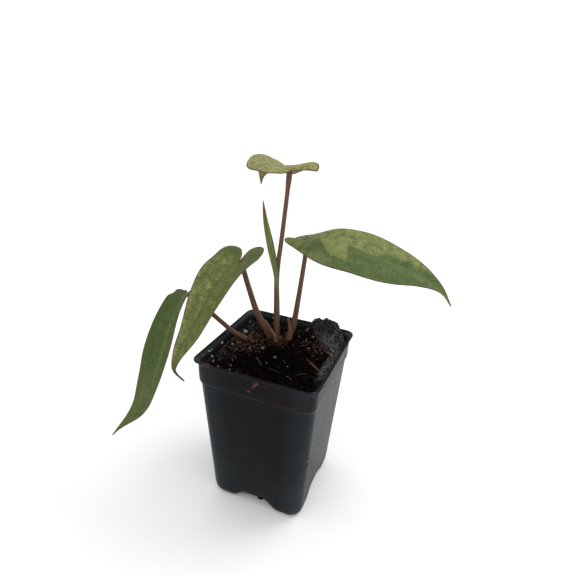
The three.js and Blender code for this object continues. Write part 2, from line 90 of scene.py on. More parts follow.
# Leaf blades, as in the solids: the midrib's points, the turn about it in degrees, how far the
# side veins lean to the tip, and the ripple of the margins. Each half has a width, its edge from
# the petiole to the tip in shares of that, a lobe behind the petiole with its length, point,
# spread and rise, the slope in degrees at both ends, and the curl of the margin.
LEAVES = {
    "right": {
        "midrib": [
            [6, 28, 191], [24, 19.5, 196], [44, 18, 194.5], [64, 22, 187], [83.5, 30, 179],
            [98.5, 37.5, 168.5], [108, 42.5, 155.5],
        ],
        "roll": 17, "twist": 20, "lean": 0.6,
        "wave": {"height": 0.55, "count": 2.5, "shift": 0.25},
        "left": {
            "width": 18.2, "edge": [0.41, 0.84, 0.92, 0.77, 0.49, 0.24, 0.11, 0.05, 0.02],
            "lobe": 15.8, "point": 0.82, "spread": 0.6, "rise": -1.4,
            "fold": (4, 32), "curl": 27,
        },
        "right": {
            "width": 20.2, "edge": [0.61, 1, 1, 0.76, 0.49, 0.23, 0.07, 0.03, 0.03],
            "lobe": 17, "point": 0.48, "spread": -2.1, "rise": 2.5,
            "fold": (-0.5, 15.5), "curl": 42,
        },
    },
    "middle": {
        "midrib": [
            [-39, 14, 171], [-39, -7.5, 165.5], [-42, -23.5, 152.5], [-47, -34.5, 135.5],
            [-55.5, -39.5, 118.5], [-60, -40, 104], [-57, -34.3, 92],
        ],
        "roll": -15.5, "twist": 18.5, "lean": 1,
        "wave": {"height": 0.3, "count": 2.5, "shift": 0.6},
        "left": {
            "width": 15, "edge": [1.12, 0.86, 0.79, 0.68, 0.46, 0.24, 0.14, 0.08, 0.03],
            "lobe": 23.4, "point": 0.46, "spread": -3, "rise": -1.2,
            "fold": (22, 30), "curl": -21,
        },
        "right": {
            "width": 16.2, "edge": [1.08, 1.12, 0.94, 0.65, 0.4, 0.21, 0.13, 0.1, 0.05],
            "lobe": 21.3, "point": 1.25, "spread": 0.6, "rise": -7.2,
            "fold": (8.5, 26), "curl": 14.5,
        },
    },
    "left": {
        "midrib": [
            [-72, -5, 146], [-71.5, -15, 145], [-73.5, -25, 132], [-75, -36, 112.5],
            [-80, -42.5, 90], [-91.5, -45.5, 63], [-117, -48.5, 32],
        ],
        "roll": 25, "twist": -28.5, "lean": 0.7,
        "wave": {"height": 0.55, "count": 2.5, "shift": 0.38},
        "left": {
            "width": 13.8, "edge": [0.73, 0.92, 0.91, 0.74, 0.45, 0.18, 0.05, 0.04, 0.03],
            "lobe": 15.9, "point": 0.74, "spread": 2.8, "rise": 3,
            "fold": (16.5, 17), "curl": 8,
        },
        "right": {
            "width": 14.7, "edge": [0.72, 0.91, 0.88, 0.69, 0.43, 0.24, 0.12, 0.04, 0.02],
            "lobe": 10.3, "point": 0.76, "spread": 3.9, "rise": -4.4,
            "fold": (15.5, 11), "curl": -20,
        },
    },
    "top": {
        "midrib": [
            [-3, 14, 238], [-30.5, 49.5, 235.5], [-44.5, 78.5, 236], [-58.5, 98.5, 229],
            [-69, 111, 208],
        ],
        "roll": -11, "twist": 61.5, "lean": 0.3,
        "wave": {"height": 0.35, "count": 2.5, "shift": 0.24},
        "left": {
            "width": 18.5, "edge": [0.92, 1.03, 1.03, 0.88, 0.64, 0.4, 0.2, 0.06, 0.03],
            "lobe": 9.3, "point": 0.69, "spread": 0.3, "rise": -1.6,
            "fold": (37.5, -16), "curl": 66,
        },
        "right": {
            "width": 20.3, "edge": [0.83, 0.92, 0.94, 0.91, 0.69, 0.34, 0.08, 0.03, 0.03],
            "lobe": 19, "point": 0.8, "spread": 3.7, "rise": -3.1,
            "fold": (33, -6.5), "curl": 59,
        },
    },
}

# Leaf stalks: centre line from the crown to the blade, and radii at both ends
PETIOLES = {
    "right": {
        "path": [
            [-2, 19, 109], [0, 20.4, 116], [2.5, 22, 126], [4.1, 24, 145], [5.4, 26, 164],
            [6.3, 27.5, 180], [6.1, 27.8, 191],
        ],
        "base": 3, "end": 1.7,
    },
    "middle": {
        "path": [
            [-11, 16, 109], [-14, 15, 117], [-23, 13.9, 131], [-30.5, 13.9, 150],
            [-35.5, 14.2, 164], [-38.8, 14.4, 171],
        ],
        "base": 3.4, "end": 2,
    },
    "left": {
        "path": [
            [-13, 13, 108], [-24.7, 7.8, 111.4], [-36.9, 2.6, 118.5], [-44.2, 0.3, 124.8],
            [-52.3, -1.6, 131.6], [-62.1, -3.2, 139], [-71.6, -4.7, 145.6],
        ],
        "base": 2.2, "end": 1.65,
    },
    "top": {
        "path": [
            [-8.5, 17.5, 109], [-8.9, 16.8, 120], [-9.2, 16, 140], [-9.5, 14.8, 160],
            [-8.9, 14.6, 174], [-7.5, 14.5, 187], [-5.7, 14.3, 206], [-4, 14, 226],
            [-3.1, 13.8, 238],
        ],
        "base": 3, "end": 1.53,
    },
}

ROLLED = {
    "path": [
        [-7.9, 15.2, 113], [-8.1, 15, 126], [-8.4, 14, 147], [-8.9, 13.2, 159],
        [-10.1, 12.4, 170], [-13.4, 10.3, 188], [-16.5, 8.2, 205], [-18, 7, 218.6],
    ],
    "stalk": 1.25, "widest": 2.2, "widest_at": 0.68, "start_at": 0.42, "overlap": 0.35,
    "turn": 0.4,
}

SHEATHS = {
    "sheath_middle": {
        "path": [[-6.5, 12, 111], [-7.9, 11.2, 118.5], [-11.5, 10.8, 124.3], [-15.2, 10.5, 130.2]],
        "base": 1.6, "end": 0.6,
    },
    "sheath_right": {
        "path": [[1.2, 18.6, 112], [1.2, 18.7, 121.3], [0.5, 18.4, 127.1], [-0.3, 18.1, 132.5]],
        "base": 1.7, "end": 0.8,
    },
}


def smooth(t):
    """0 below 0, 1 above 1 and an even rise between."""
    c = np.clip(t, 0, 1)
    return c * c * (3 - 2 * c)


def bell(t):
    return np.exp(-np.square(t))


def unit(v):
    return v / np.linalg.norm(v, axis=-1, keepdims=True)


# Meshes


def add_object(name, data):
    made = bpy.data.objects.new(name, data)
    bpy.context.scene.collection.objects.link(made)
    return made


def add_piece(name, points, faces, material, replaces=(), values=None, smooth_faces=True):
    """A mesh object that rides on the plant's one body. points are in millimetres, faces are
    arrays of corner numbers, and values are named numbers, one for each point."""
    mesh = bpy.data.meshes.new(name)
    mesh.from_pydata((np.asarray(points) * MM).tolist(), [], [list(map(int, f)) for f in faces])
    mesh.validate()
    mesh.polygons.foreach_set("use_smooth", [smooth_faces] * len(mesh.polygons))
    for key, data in (values or {}).items():
        layer = mesh.attributes.new(key, "FLOAT", "POINT")
        layer.data.foreach_set("value", np.asarray(data, np.float32))
    mesh.materials.append(material)
    piece = add_object(name, mesh)
    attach(piece, BODY)
    if replaces:
        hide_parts(*replaces)
    return piece


def grid_faces(rows, columns, closed=False):
    """Corner numbers of the quads of a grid, joined round its columns where closed."""
    i, k = np.meshgrid(np.arange(rows - 1), np.arange(columns - (0 if closed else 1)),
                       indexing="ij")
    nxt = (k + 1) % columns
    quads = [i * columns + k, i * columns + nxt, (i + 1) * columns + nxt, (i + 1) * columns + k]
    return np.stack(quads, -1).reshape(-1, 4)


def tube_faces(rings, sides):
    """Corner numbers of the quads between rings of points, and of the caps at both ends."""
    last = (rings - 1) * sides
    quads = grid_faces(rings, sides, closed=True).tolist()
    return quads + [list(range(sides))[::-1], list(range(last, last + sides))]


def curve(knots, t):
    """Smooth values through all knots but the first and the last, at each t counted in knots."""
    i = np.minimum(t.astype(int), len(knots) - 4)
    u = (t - i).reshape(t.shape + (1,) * (knots.ndim - 1))
    a, b, c, d = (knots[i + k] for k in range(4))
    return b + 0.5 * u * (c - a + u * (2 * a - 5 * b + 4 * c - d + u * (3 * (b - c) + d - a)))


def spline(path, count):
    """Even points along a smooth line through path, its tangents and its length."""
    knots = np.array(path, float)
    knots = np.vstack([2 * knots[0] - knots[1], knots, 2 * knots[-1] - knots[-2]])
    line = curve(knots, np.linspace(0, len(path) - 1, 2001))
    arc = np.concatenate([[0], np.cumsum(np.linalg.norm(np.diff(line, axis=0), axis=1))])
    even = np.linspace(0, arc[-1], count + 1)
    points = np.column_stack([np.interp(even, arc, line[:, k]) for k in range(3)])
    return points, unit(np.gradient(points, axis=0)), arc[-1]


def frames_along(path, first_normal, count):
    """Points, tangents and normals that turn as little as they can along a path."""
    points, tangents, length = spline(path, count)
    normals = []
    normal = np.array(first_normal, float)
    for tangent in tangents:
        normal = unit(normal - tangent * (normal @ tangent))
        normals.append(normal)
    return points, tangents, np.array(normals), length


def skin(points, tangents, normals, radii, angles):
    """Rings of points round a line, at these angles from its normals."""
    across = np.cross(tangents, normals)
    ring = (normals[:, None] * np.cos(angles)[..., None]
            + across[:, None] * np.sin(angles)[..., None])
    return (points[:, None] + radii[..., None] * ring).reshape(-1, 3)


def tube(path, sides, steps, radius, turn=0):
    """Points and faces of a closed tube, with how far along and round it each point is.
    radius(along, around) takes and gives arrays."""
    points, tangents, normals, _ = frames_along(path, (1, 0, 0.01), steps)
    along, around = np.meshgrid(
        np.linspace(0, 1, steps + 1), np.arange(sides) / sides, indexing="ij"
    )
    angles = 2 * np.pi * (around + turn * along)
    rings = skin(points, tangents, normals, radius(along, around), angles)
    return rings, tube_faces(steps + 1, sides), {"along": along.ravel(), "around": around.ravel()}


# Noise that is the same on every run


def lattice_noise(x, y, seed):
    """Smooth noise from 0 to 1 with a grain of 1."""
    table = np.random.default_rng(seed).random((256, 256))
    i, j = np.floor(x).astype(int), np.floor(y).astype(int)
    u, v = smooth(x - i), smooth(y - j)
    corner = lambda di, dj: table[(i + di) % 256, (j + dj) % 256]
    low = corner(0, 0) * (1 - u) + corner(1, 0) * u
    high = corner(0, 1) * (1 - u) + corner(1, 1) * u
    return low * (1 - v) + high * v


def layered_noise(x, y, seed, layers=4):
    total = sum(lattice_noise(x * 2**k, y * 2**k, seed + k) / 2**k for k in range(layers))
    return total / (2 - 2.0 ** (1 - layers))


# Materials


def plain(rgb):
    """Linear colour of an 8-bit screen colour."""
    share = np.array(rgb) / 255
    linear = np.where(share <= 0.04045, share / 12.92, ((share + 0.055) / 1.055) ** 2.4)
    return tuple(float(x) for x in linear)


class Graph:
    """Builds one material from nodes. Inputs are numbers, 8-bit screen colours or other nodes'
    outputs."""

    def __init__(self, name):
        self.material = bpy.data.materials.new(name)
        self.material.use_nodes = True
        self.tree = self.material.node_tree
        self.tree.nodes.clear()
        coordinates = self.tree.nodes.new("ShaderNodeTexCoord").outputs["Object"]
        self.place = self.node("VectorMath", {0: coordinates, "Scale": 1 / MM}, operation="SCALE")

    def node(self, kind, inputs, output=0, **settings):
        """Adds a node and gives one of its outputs."""
        made = self.tree.nodes.new("ShaderNode" + kind)
        for key, value in settings.items():
            setattr(made, key, value)
        for key, value in inputs.items():
            socket = made.inputs[key]
            if isinstance(value, bpy.types.NodeSocket):
                self.tree.links.new(value, socket)
            elif socket.type == "RGBA":
                socket.default_value = (*plain(value), 1)
            else:
                socket.default_value = value
        return made.outputs[output]

    def value(self, name):
        """One of the named numbers that add_piece stores at each point."""
        return self.node("Attribute", {}, "Fac", attribute_name=name)

    def math(self, operation, a, b=0.0):
        return self.node("Math", {0: a, 1: b}, operation=operation)

    def product(self, *values):
        return reduce(lambda a, b: self.math("MULTIPLY", a, b), values)

    def total(self, *values):
        return reduce(lambda a, b: self.math("ADD", a, b), values)

    def sway(self, noise, amount):
        """Noise from 0 to 1, moved to swing by half the amount to both sides of 0."""
        return self.product(self.math("SUBTRACT", noise, 0.5), amount)

    def step(self, value, low, high):
        """0 below low and 1 above high, with a smooth rise. low may be above high."""
        inputs = {"Value": value, "From Min": low, "From Max": high}
        return self.node("MapRange", inputs, interpolation_type="SMOOTHSTEP")

    def scaled(self, value, low, high):
        return self.node("MapRange", {"Value": value, "To Min": low, "To Max": high})

    def combine(self, x, y, z=0.0):
        return self.node("CombineXYZ", {0: x, 1: y, 2: z})

    def stretched(self, *scale):
        """The place in millimetres, scaled along each axis."""
        return self.node("VectorMath", {0: self.place, 1: scale}, operation="MULTIPLY")

    def noise(self, grain, vector=None, detail=3.0, rough=0.55):
        """Noise with a grain in millimetres."""
        inputs = {"Vector": vector or self.place, "Scale": 1 / grain, "Detail": detail,
                  "Roughness": rough}
        return self.node("TexNoise", inputs, "Fac")

    def lines(self, around, along, detail=3.0):
        """Noise in lines along a tube, with so many grains round it and along it."""
        vector = self.combine(self.product(self.value("around"), around),
                              self.product(self.value("along"), along))
        return self.noise(1.0, vector, detail)

    def mix(self, share, a, b):
        return self.node("Mix", {0: share, 6: a, 7: b}, 2, data_type="RGBA")

    def over(self, colour, top, *shares):
        """A colour with another laid over it, as much as the product of the shares says."""
        return self.mix(self.product(*shares), colour, top)

    def bump(self, *layers):
        """Bumps laid one on another. Each is a height and its millimetres for a height of 1."""
        normal = None
        for height, depth in layers:
            below = {} if normal is None else {"Normal": normal}
            normal = self.node("Bump", {"Height": height, "Distance": depth * MM, **below})
        return normal

    def finish(self, colour, roughness, normal=None, specular=0.5):
        """Adds the shader and gives the material."""
        inputs = {"Base Color": colour, "Roughness": roughness, "Specular IOR Level": specular}
        if normal is not None:
            inputs["Normal"] = normal
        surface = self.node("BsdfPrincipled", inputs)
        self.tree.links.new(surface, self.tree.nodes.new("ShaderNodeOutputMaterial").inputs[0])
        return self.material


# Leaf blades

BLADE_ROWS = 200
LOBE_ROWS = 40
HALF_COLUMNS = 28
BLADE_THICKNESS = 0.5
ROUND_MARGIN = 0.6
TIP_WIDTH = 0.3
CREASE = 2.0
VEIN_SPACING = 8.5
VEIN_SUNK = 0.04
VEIN_RAISED = 0.08
FINE_SPACING = 1.4
MIDRIB_STEPS = 240
LOBE_END = 0.999


def through(values, t):
    """Smooth values through evenly spaced ones, at each t from 0 to 1."""
    knots = np.concatenate([[2 * values[0] - values[1]], values, values[-1:]])
    return curve(knots, np.clip(t, 0, 1) * (len(values) - 1))


def half_outline(half, length, x):
    """Inner and outer edge of one half of the flat blade at each distance x along the midrib,
    which is negative in the lobe behind the petiole."""
    waist = half["width"] * half["edge"][0]
    slope = 16 * half["width"] * (half["edge"][1] - half["edge"][0]) / (np.pi * length)
    back = np.clip(-x / half["lobe"], 0, LOBE_END)
    reach = (waist / 2) * (1 - back**2) ** half["point"]
    centre = waist / 2 + half["spread"] * back
    share = through(half["edge"], np.arcsin(np.clip(x / length, 0, 1)) * 2 / np.pi)
    ahead = np.maximum(TIP_WIDTH, half["width"] * share)
    inner = np.where(x < 0, np.maximum(0, centre - reach), 0)
    return inner, np.where(x < 0, centre + reach + slope * x * (1 - back), ahead)


def half_grid(half, length, x, shares):
    """Places of a grid on one half of the flat blade, and how far each is from the margin."""
    inner, outer = half_outline(half, length, x)
    across = np.repeat(x[:, None], len(shares), 1)
    y = inner[:, None] + (outer - inner)[:, None] * shares
    to_side = outer[:, None] - y
    to_side = np.where(across < 0, np.minimum(y - inner[:, None], to_side), to_side)
    to_end = np.where(across < 0, (across + half["lobe"]) * 2, (length - across) * 0.6)
    return across, y, np.minimum(to_side, np.abs(to_end))


def blade_sheet(leaf):
    """The blade's middle surface as a list of points with what is known at each of them, and
    its faces."""
    wave = leaf["wave"]
    centre, tangent, normal, length = frames_along(leaf["midrib"], (0, 0, 1), MIDRIB_STEPS)

    def place(x, y, half, sign):
        at = np.clip(x / length, 0, 1) * MIDRIB_STEPS
        i = np.minimum(MIDRIB_STEPS - 1, at.astype(int))
        f = (at - i)[..., None]
        blend = lambda rows: rows[i] * (1 - f) + rows[i + 1] * f
        forward = unit(blend(tangent))
        upright = unit(blend(normal))
        roll = np.radians(leaf["roll"] + leaf["twist"] * np.clip(x / length, 0, None))[..., None]
        upright = upright * np.cos(roll) + np.cross(forward, upright) * np.sin(roll)
        side = np.cross(upright, forward)
        share = y / half["width"]
        along = np.clip(x / length, 0, 1)
        fold = half["fold"][0] + (half["fold"][1] - half["fold"][0]) * along
        angle = np.radians(fold - half["curl"] * share / 2)
        phase = wave["count"] * x / length + (0 if sign > 0 else wave["shift"])
        ripple = wave["height"] * share**2 * np.sin(2 * np.pi * phase)
        rise = half["rise"] * np.maximum(0, -x / half["lobe"]) ** 3
        crease = CREASE * (1 - along)
        up = (np.sqrt(y**2 + crease**2) - crease) * np.sin(angle) + ripple + rise
        point = blend(centre) + forward * np.minimum(0, x)[..., None]
        return point + side * (sign * y * np.cos(angle))[..., None] + upright * up[..., None]

    parts = []

    def add(x, y, edge, half, sign):
        """Adds a grid of points and gives their numbers."""
        start = sum(part[0].size for part in parts)
        parts.append((x, y, edge, np.full(x.shape, sign), place(x, y, half, sign)))
        return start + np.arange(x.size).reshape(x.shape)

    # Columns lie closer together at the midrib and at the margin
    u = np.linspace(0, 1, HALF_COLUMNS + 1)
    shares = 0.5 * u + 0.25 * (1 - np.cos(np.pi * u))
    ahead = length * np.linspace(0, 1, BLADE_ROWS + 1)
    behind = -LOBE_END * np.sin(np.linspace(0, 1, LOBE_ROWS + 1)[1:] * np.pi / 2)
    faces, middle = [], None
    for sign, half in ((1, leaf["left"]), (-1, leaf["right"])):
        x, y, edge = half_grid(half, length, ahead, shares)
        if middle is None:
            middle = add(x[:, :1], y[:, :1], edge[:, :1], half, sign)
        main = np.hstack([middle, add(x[:, 1:], y[:, 1:], edge[:, 1:], half, sign)])
        lobe = add(*half_grid(half, length, behind * half["lobe"], shares), half, sign)
        rows = np.vstack([lobe[::-1], main])
        quads = np.stack([rows[:-1, :-1], rows[:-1, 1:], rows[1:, 1:], rows[1:, :-1]], -1)
        faces.append(quads.reshape(-1, 4)[:, ::-sign])
    x, y, edge, sign = (np.concatenate([part[k].ravel() for part in parts]) for k in range(4))
    points = np.vstack([part[4].reshape(-1, 3) for part in parts])
    return points, {"x": x, "y": y, "edge": edge, "sign": sign}, np.vstack(faces), length


def point_normals(points, faces):
    """Normal at each point, from the four-sided faces round it."""
    a, b, c, d = (points[faces[:, k]] for k in range(4))
    face = np.cross(c - a, d - b)
    normals = np.zeros_like(points)
    for k in range(4):
        np.add.at(normals, faces[:, k], face)
    return unit(normals + 1e-12)


def blade_piece(name, leaf, material):
    """A thin blade with veins, a keeled midrib and a round margin, closed all round."""
    sheet, known, faces, length = blade_sheet(leaf)
    normals = point_normals(sheet, faces)
    x, y, edge = known["x"], known["y"], known["edge"]
    along = x / length

    # Where the side vein through each point leaves the midrib
    fan = smooth((x + 14) / 26)
    vein = x - y * (fan * (leaf["lean"] + 0.95) - 0.95) - 0.018 * y**2 * fan

    # Veins sink into the upper face and stand out below, and the midrib is a channel on a keel
    between = vein / VEIN_SPACING
    sunk = bell((between - np.round(between)) * 6) * smooth(edge / 4)
    slim = np.clip(1 - along, 0, 1)
    channel = bell(y / (0.35 + 0.5 * slim)) * smooth(x / 3 + 0.6)
    keel = (0.15 + 0.95 * slim) * bell(y / (0.4 + 0.75 * slim)) * smooth(x / 3 + 0.6)
    round_edge = np.sqrt(np.clip(1 - (1 - np.clip(edge / ROUND_MARGIN, 0, 1)) ** 2, 0.06, 1))
    half_thickness = BLADE_THICKNESS / 2 * round_edge
    above = half_thickness - VEIN_SUNK * sunk - (0.05 + 0.15 * slim) * channel
    below = half_thickness + VEIN_RAISED * sunk + keel
    upper = sheet + normals * above[:, None]
    lower = sheet - normals * below[:, None]

    # A strip round the open rim joins the upper face and the lower one
    n = len(sheet)
    sides = np.concatenate([faces[:, [k, (k + 1) % 4]] for k in range(4)])
    key = sides[:, 0].astype(np.int64) * n + sides[:, 1]
    reverse = sides[:, 1].astype(np.int64) * n + sides[:, 0]
    rim = sides[~np.isin(key, reverse)]
    strip = np.column_stack([rim[:, 1], rim[:, 0], rim[:, 0] + n, rim[:, 1] + n])
    every = np.vstack([faces, faces[:, ::-1] + n, strip])
    twice = lambda data: np.concatenate([data, data])
    values = {
        "along": twice(along), "rib": twice(np.where(x < 0, np.hypot(x, y), y)),
        "edge": twice(edge), "vein": twice(vein), "ahead": twice(x), "out": twice(y),
        "half": twice(known["sign"]), "under": np.repeat([0.0, 1.0], n),
        "pale": twice(paleness(name, x, y, known["sign"] > 0)),
        "second_colour_and_sheen": twice(streak(name, x, y, known["sign"] > 0)),
    }
    return add_piece(f"blade_{name}", np.vstack([upper, lower]), every, material,
                     [f"blade_{name}"], values)


def leaf_material(name, looks):
    """looks holds a leaf's colours, the grain of its mottling in millimetres along and across
    the blade, and how strongly its flecks and veins show."""
    g = Graph(name)
    vein, out, half, pale, ahead = map(g.value, ("vein", "out", "half", "pale", "ahead"))
    along, edge, rib, under = map(g.value, ("along", "edge", "rib", "under"))
    # The two halves take their noise from places far apart
    aside = g.product(half, 60.0)
    long, wide = looks["grain"]
    across = g.math("SUBTRACT", out, g.product(ahead, looks["skew"]))
    flat = g.combine(g.product(ahead, 1 / long), g.product(across, 1 / wide), aside)
    cloud = g.noise(5.0, g.combine(ahead, out, aside), detail=4.0, rough=0.65)
    mottle = g.noise(1.0, flat, detail=4.0, rough=0.85)
    grain = g.noise(0.55, detail=2.0)
    # Large patches, then pale flecks, deep blots and the leaf's second colour, which on the left
    # leaf is partly a painted sheen
    uneven = g.total(g.sway(cloud, looks["blotch"]), g.sway(mottle, 1.6))
    patch = g.step(g.total(pale, uneven), 0.3, 0.7)
    colour = g.mix(patch, looks["dark"], looks["mid"])
    spots = g.total(mottle, g.sway(grain, 0.5), g.sway(cloud, 0.6))
    flecks = g.product(g.step(spots, 0.52, 0.62), g.scaled(patch, looks["sparse"], 1.0))
    colour = g.over(colour, looks["light"], flecks, looks["flecks"])
    deep = g.mix(patch, looks["shade"], looks["deep"])
    colour = g.over(colour, deep, g.step(spots, 0.48, 0.36), looks["blots"])
    # The leaf's second colour; on the left leaf it is also a painted sheen along the midrib
    colour = g.over(colour, looks["second_colour_and_sheen"], g.value("second_colour_and_sheen"), g.scaled(mottle, 0.4, 1.6))
    # Veins, midrib, tip, underside, joint with the stalk, and margin
    main = g.math("PINGPONG", vein, VEIN_SPACING / 2)
    fine = g.math("PINGPONG", vein, FINE_SPACING / 2)
    colour = g.over(colour, looks["vein"], g.step(fine, 0.3, 0.0), looks["veins"], 0.6)
    colour = g.over(colour, looks["vein"], g.step(main, 0.6, 0.0), looks["veins"])
    colour = g.over(colour, looks["rib"], g.step(rib, 1.5, 0.3), looks["ribs"])
    colour = g.over(colour, looks["tip"], g.step(along, looks["tip_from"], 1.0))
    below = g.over(looks["under"], (116, 96, 66), g.step(rib, 1.2, 0.6))
    colour = g.over(colour, below, under, 0.65)
    joint = g.product(g.step(rib, looks["joint"], looks["joint"] / 3), g.step(along, 0.04, 0.0))
    colour = g.over(colour, (100, 70, 52), joint, 0.85)
    rim = g.total(edge, g.sway(mottle, 0.7))
    colour = g.over(colour, looks["margin"], g.step(rim, looks["hem"], looks["hem"] / 3), 0.9)
    rough = g.total(g.scaled(mottle, 0.58, 0.74), g.product(under, 0.1))
    relief = g.bump((g.step(main, 0.9, 0.0), -0.04), (g.step(fine, 0.4, 0.0), -0.012),
                    (grain, 0.05))
    return g.finish(colour, rough, relief, 0.1)


LEAF_LOOKS = {
    "right": {
        "dark": (80, 97, 57), "mid": (118, 127, 75), "light": (143, 147, 96),
        "deep": (92, 103, 60), "shade": (68, 86, 46),
        "flecks": 0.8, "blots": 0.8, "sparse": 0.35,
        "grain": (1.0, 0.7), "blotch": 0.7, "skew": 0.0, "second_colour_and_sheen": (104, 118, 72),
        "vein": (110, 124, 76), "veins": 0.06, "rib": (112, 124, 80), "ribs": 0.1,
        "tip": (112, 114, 66), "tip_from": 0.78, "under": (106, 118, 80),
        "margin": (96, 68, 58), "hem": 0.85, "joint": 1.6,
    },
    "middle": {
        "dark": (90, 96, 52), "mid": (95, 101, 55), "light": (150, 156, 100),
        "deep": (72, 88, 52), "shade": (72, 84, 44),
        "flecks": 0.8, "blots": 0.85, "sparse": 0.3,
        "grain": (0.95, 0.55), "blotch": 1.3, "skew": 0.0, "second_colour_and_sheen": (74, 92, 52),
        "vein": (118, 128, 76), "veins": 0.06, "rib": (118, 128, 78), "ribs": 0.2,
        "tip": (94, 66, 54), "tip_from": 0.78, "under": (106, 116, 72),
        "margin": (100, 68, 56), "hem": 0.9, "joint": 1.5,
    },
    "left": {
        "dark": (70, 85, 45), "mid": (78, 91, 50), "light": (94, 104, 64),
        "deep": (58, 74, 38), "shade": (54, 70, 34),
        "flecks": 0.7, "blots": 0.75, "sparse": 0.6,
        # The left leaf's second colour also serves as its painted sheen
        "grain": (1.0, 0.8), "blotch": 1.5, "skew": 0.0, "second_colour_and_sheen": (104, 108, 66),
        "vein": (80, 96, 54), "veins": 0.05, "rib": (90, 106, 66), "ribs": 0.06,
        "tip": (96, 104, 60), "tip_from": 0.85, "under": (94, 108, 68),
        "margin": (88, 76, 56), "hem": 0.7, "joint": 1.5,
    },
    "top": {
        "dark": (104, 112, 62), "mid": (136, 134, 81), "light": (168, 161, 108),
        "deep": (76, 92, 44), "shade": (84, 98, 48),
        "flecks": 0.7, "blots": 1.0, "sparse": 0.6,
        "grain": (7.0, 1.1), "blotch": 1.5, "skew": 0.23, "second_colour_and_sheen": (100, 114, 60),
        "vein": (100, 112, 60), "veins": 0.2, "rib": (112, 116, 66), "ribs": 0.35,
        "tip": (78, 66, 42), "tip_from": 0.9, "under": (116, 124, 76),
        "margin": (88, 60, 44), "hem": 1.4, "joint": 5.0,
    },
}


def paleness(name, x, y, far):
    """How pale each point of a leaf is, from 0 to 1, from its distance along and from the
    midrib: the leaf's large patches."""
    if name == "right":
        band = smooth((x - 13 - 0.95 * y) / 3) * smooth((37 + 0.25 * y - x) / 2.5)
        band = band * smooth((16 - y) / 4)
        centre = smooth((2.6 - y) / 1.6) * smooth((58 - x) / 6) * smooth((x - 14) / 6)
        lobe = 0.55 * smooth((6 - x) / 6)
        low = 0.42 * smooth((y - 9.5) / 4) * smooth((36 - x) / 14)
        base = 0.14 + 0.18 * smooth((16 - x) / 6)
        near = np.maximum.reduce([0.75 * band, 0.7 * centre, lobe, low, base])
        soft = 2 + 4 * smooth((x - 48) / 15)
        bright = smooth((y + 3.5 - 4.5 * smooth((x - 52) / 14)) / soft)
        return np.where(far, 0.1 + 0.5 * bright, near)
    if name == "middle":
        green = smooth((4 - x) / 10)
        near = (0.55 + 0.35 * smooth((x - 20) / 45)) * smooth((y - 1) / 4)
        return np.where(far, 0.3 * smooth((x - 20) / 30), near) * (1 - 0.6 * green)
    if name == "left":
        return 0.2 + 0.4 * smooth((x - 60) / 25)
    return np.full_like(x, 0.62)


def streak(name, x, y, far):
    """How much of a leaf's second colour shows at each point, from 0 to 1. On the left leaf part of
    it is a painted sheen along the midrib.
    """
    if name == "middle":
        lobe = bell((x + 9) / 7) * bell((y - 9) / 6)
        return 0.75 * lobe + np.where(far, 0.45 * smooth((26 - x) / 14) * smooth((y - 3) / 5), 0)
    if name == "left":
        # A painted sheen streak along the midrib of the left leaf's far half
        painted_sheen = bell((y - 3.4) / 2.4) * smooth((x - 12) / 18) * smooth((92 - x) / 25)
        flap = bell((y - 5.6 - 0.06 * x) / 0.8) * smooth((20 - x) / 5) * smooth((x + 2) / 3)
        return np.where(far, 0.5 * painted_sheen + 0.85 * flap, 0.25 * smooth((x - 62) / 25))
    if name == "top":
        return 0.8 * bell((x - 26) / 8) * bell((y - 12) / 6)
    return 0.5 * bell((x - 20) / 8) * smooth((y - 12) / 3) * ~far


for leaf_name, leaf in LEAVES.items():
    blade_piece(leaf_name, leaf, leaf_material(f"leaf_{leaf_name}", LEAF_LOOKS[leaf_name]))


# Petioles, rolled leaf and sheaths


def petiole_material():
    g = Graph("petiole")
    bark, foot, fleck = (99, 71, 55), (74, 47, 35), (138, 112, 82)
    along, around = g.value("along"), g.value("around")
    grain = g.lines(24.0, 5.0)
    colour = g.mix(g.scaled(g.noise(5.0), 0.0, 0.5), bark, foot)
    colour = g.over(colour, fleck, g.step(grain, 0.5, 0.75), 0.35)
    colour = g.over(colour, foot, g.step(along, 0.3, 0.0), 0.7)
    cells = g.node("TexVoronoi", {"Vector": g.combine(around, g.product(along, 3.5)),
                                  "Scale": 1 / 0.16}, "Distance")
    colour = g.over(colour, fleck, g.step(cells, 0.22, 0.1), 0.5)
    relief = g.bump((grain, 0.12), (g.step(cells, 0.25, 0.1), 0.08))
    return g.finish(colour, g.scaled(grain, 0.38, 0.6), relief, 0.2)


def rolled_material():
    g = Graph("rolled_leaf")
    along, around = g.value("along"), g.value("around")
    grain = g.lines(14.0, 4.0, 2.0)
    colour = g.mix(g.step(grain, 0.35, 0.7), (82, 90, 46), (117, 121, 72))
    stripe = g.step(g.math("PINGPONG", g.math("ADD", around, 0.27), 0.5), 0.1, 0.04)
    foot = g.over((98, 70, 56), (98, 104, 58), stripe, 0.45)
    colour = g.over(colour, foot, g.step(along, 0.5, 0.36))
    ledge = g.step(g.math("PINGPONG", around, 0.5), 0.06, 0.02)
    colour = g.over(colour, (96, 58, 44), ledge, 0.85)
    colour = g.over(colour, (98, 60, 46), g.step(along, 0.86, 0.97))
    return g.finish(colour, g.scaled(grain, 0.34, 0.5), g.bump((grain, 0.1)), 0.2)


def sheath_material():
    g = Graph("dry_sheath")
    grain = g.lines(26.0, 3.0)
    colour = g.mix(g.step(grain, 0.3, 0.7), (80, 50, 38), (138, 102, 80))
    colour = g.over(colour, (134, 102, 80), g.step(g.value("along"), 0.8, 1.0), 0.5)
    return g.finish(colour, g.scaled(grain, 0.6, 0.85), g.bump((grain, 0.3)), 0.15)


def tube_piece(name, material, path, sides, steps, radius, turn=0):
    """A tube in place of the solid that has its name."""
    points, faces, values = tube(path, sides, steps, radius, turn)
    add_piece(name, points, faces, material, [name], values)


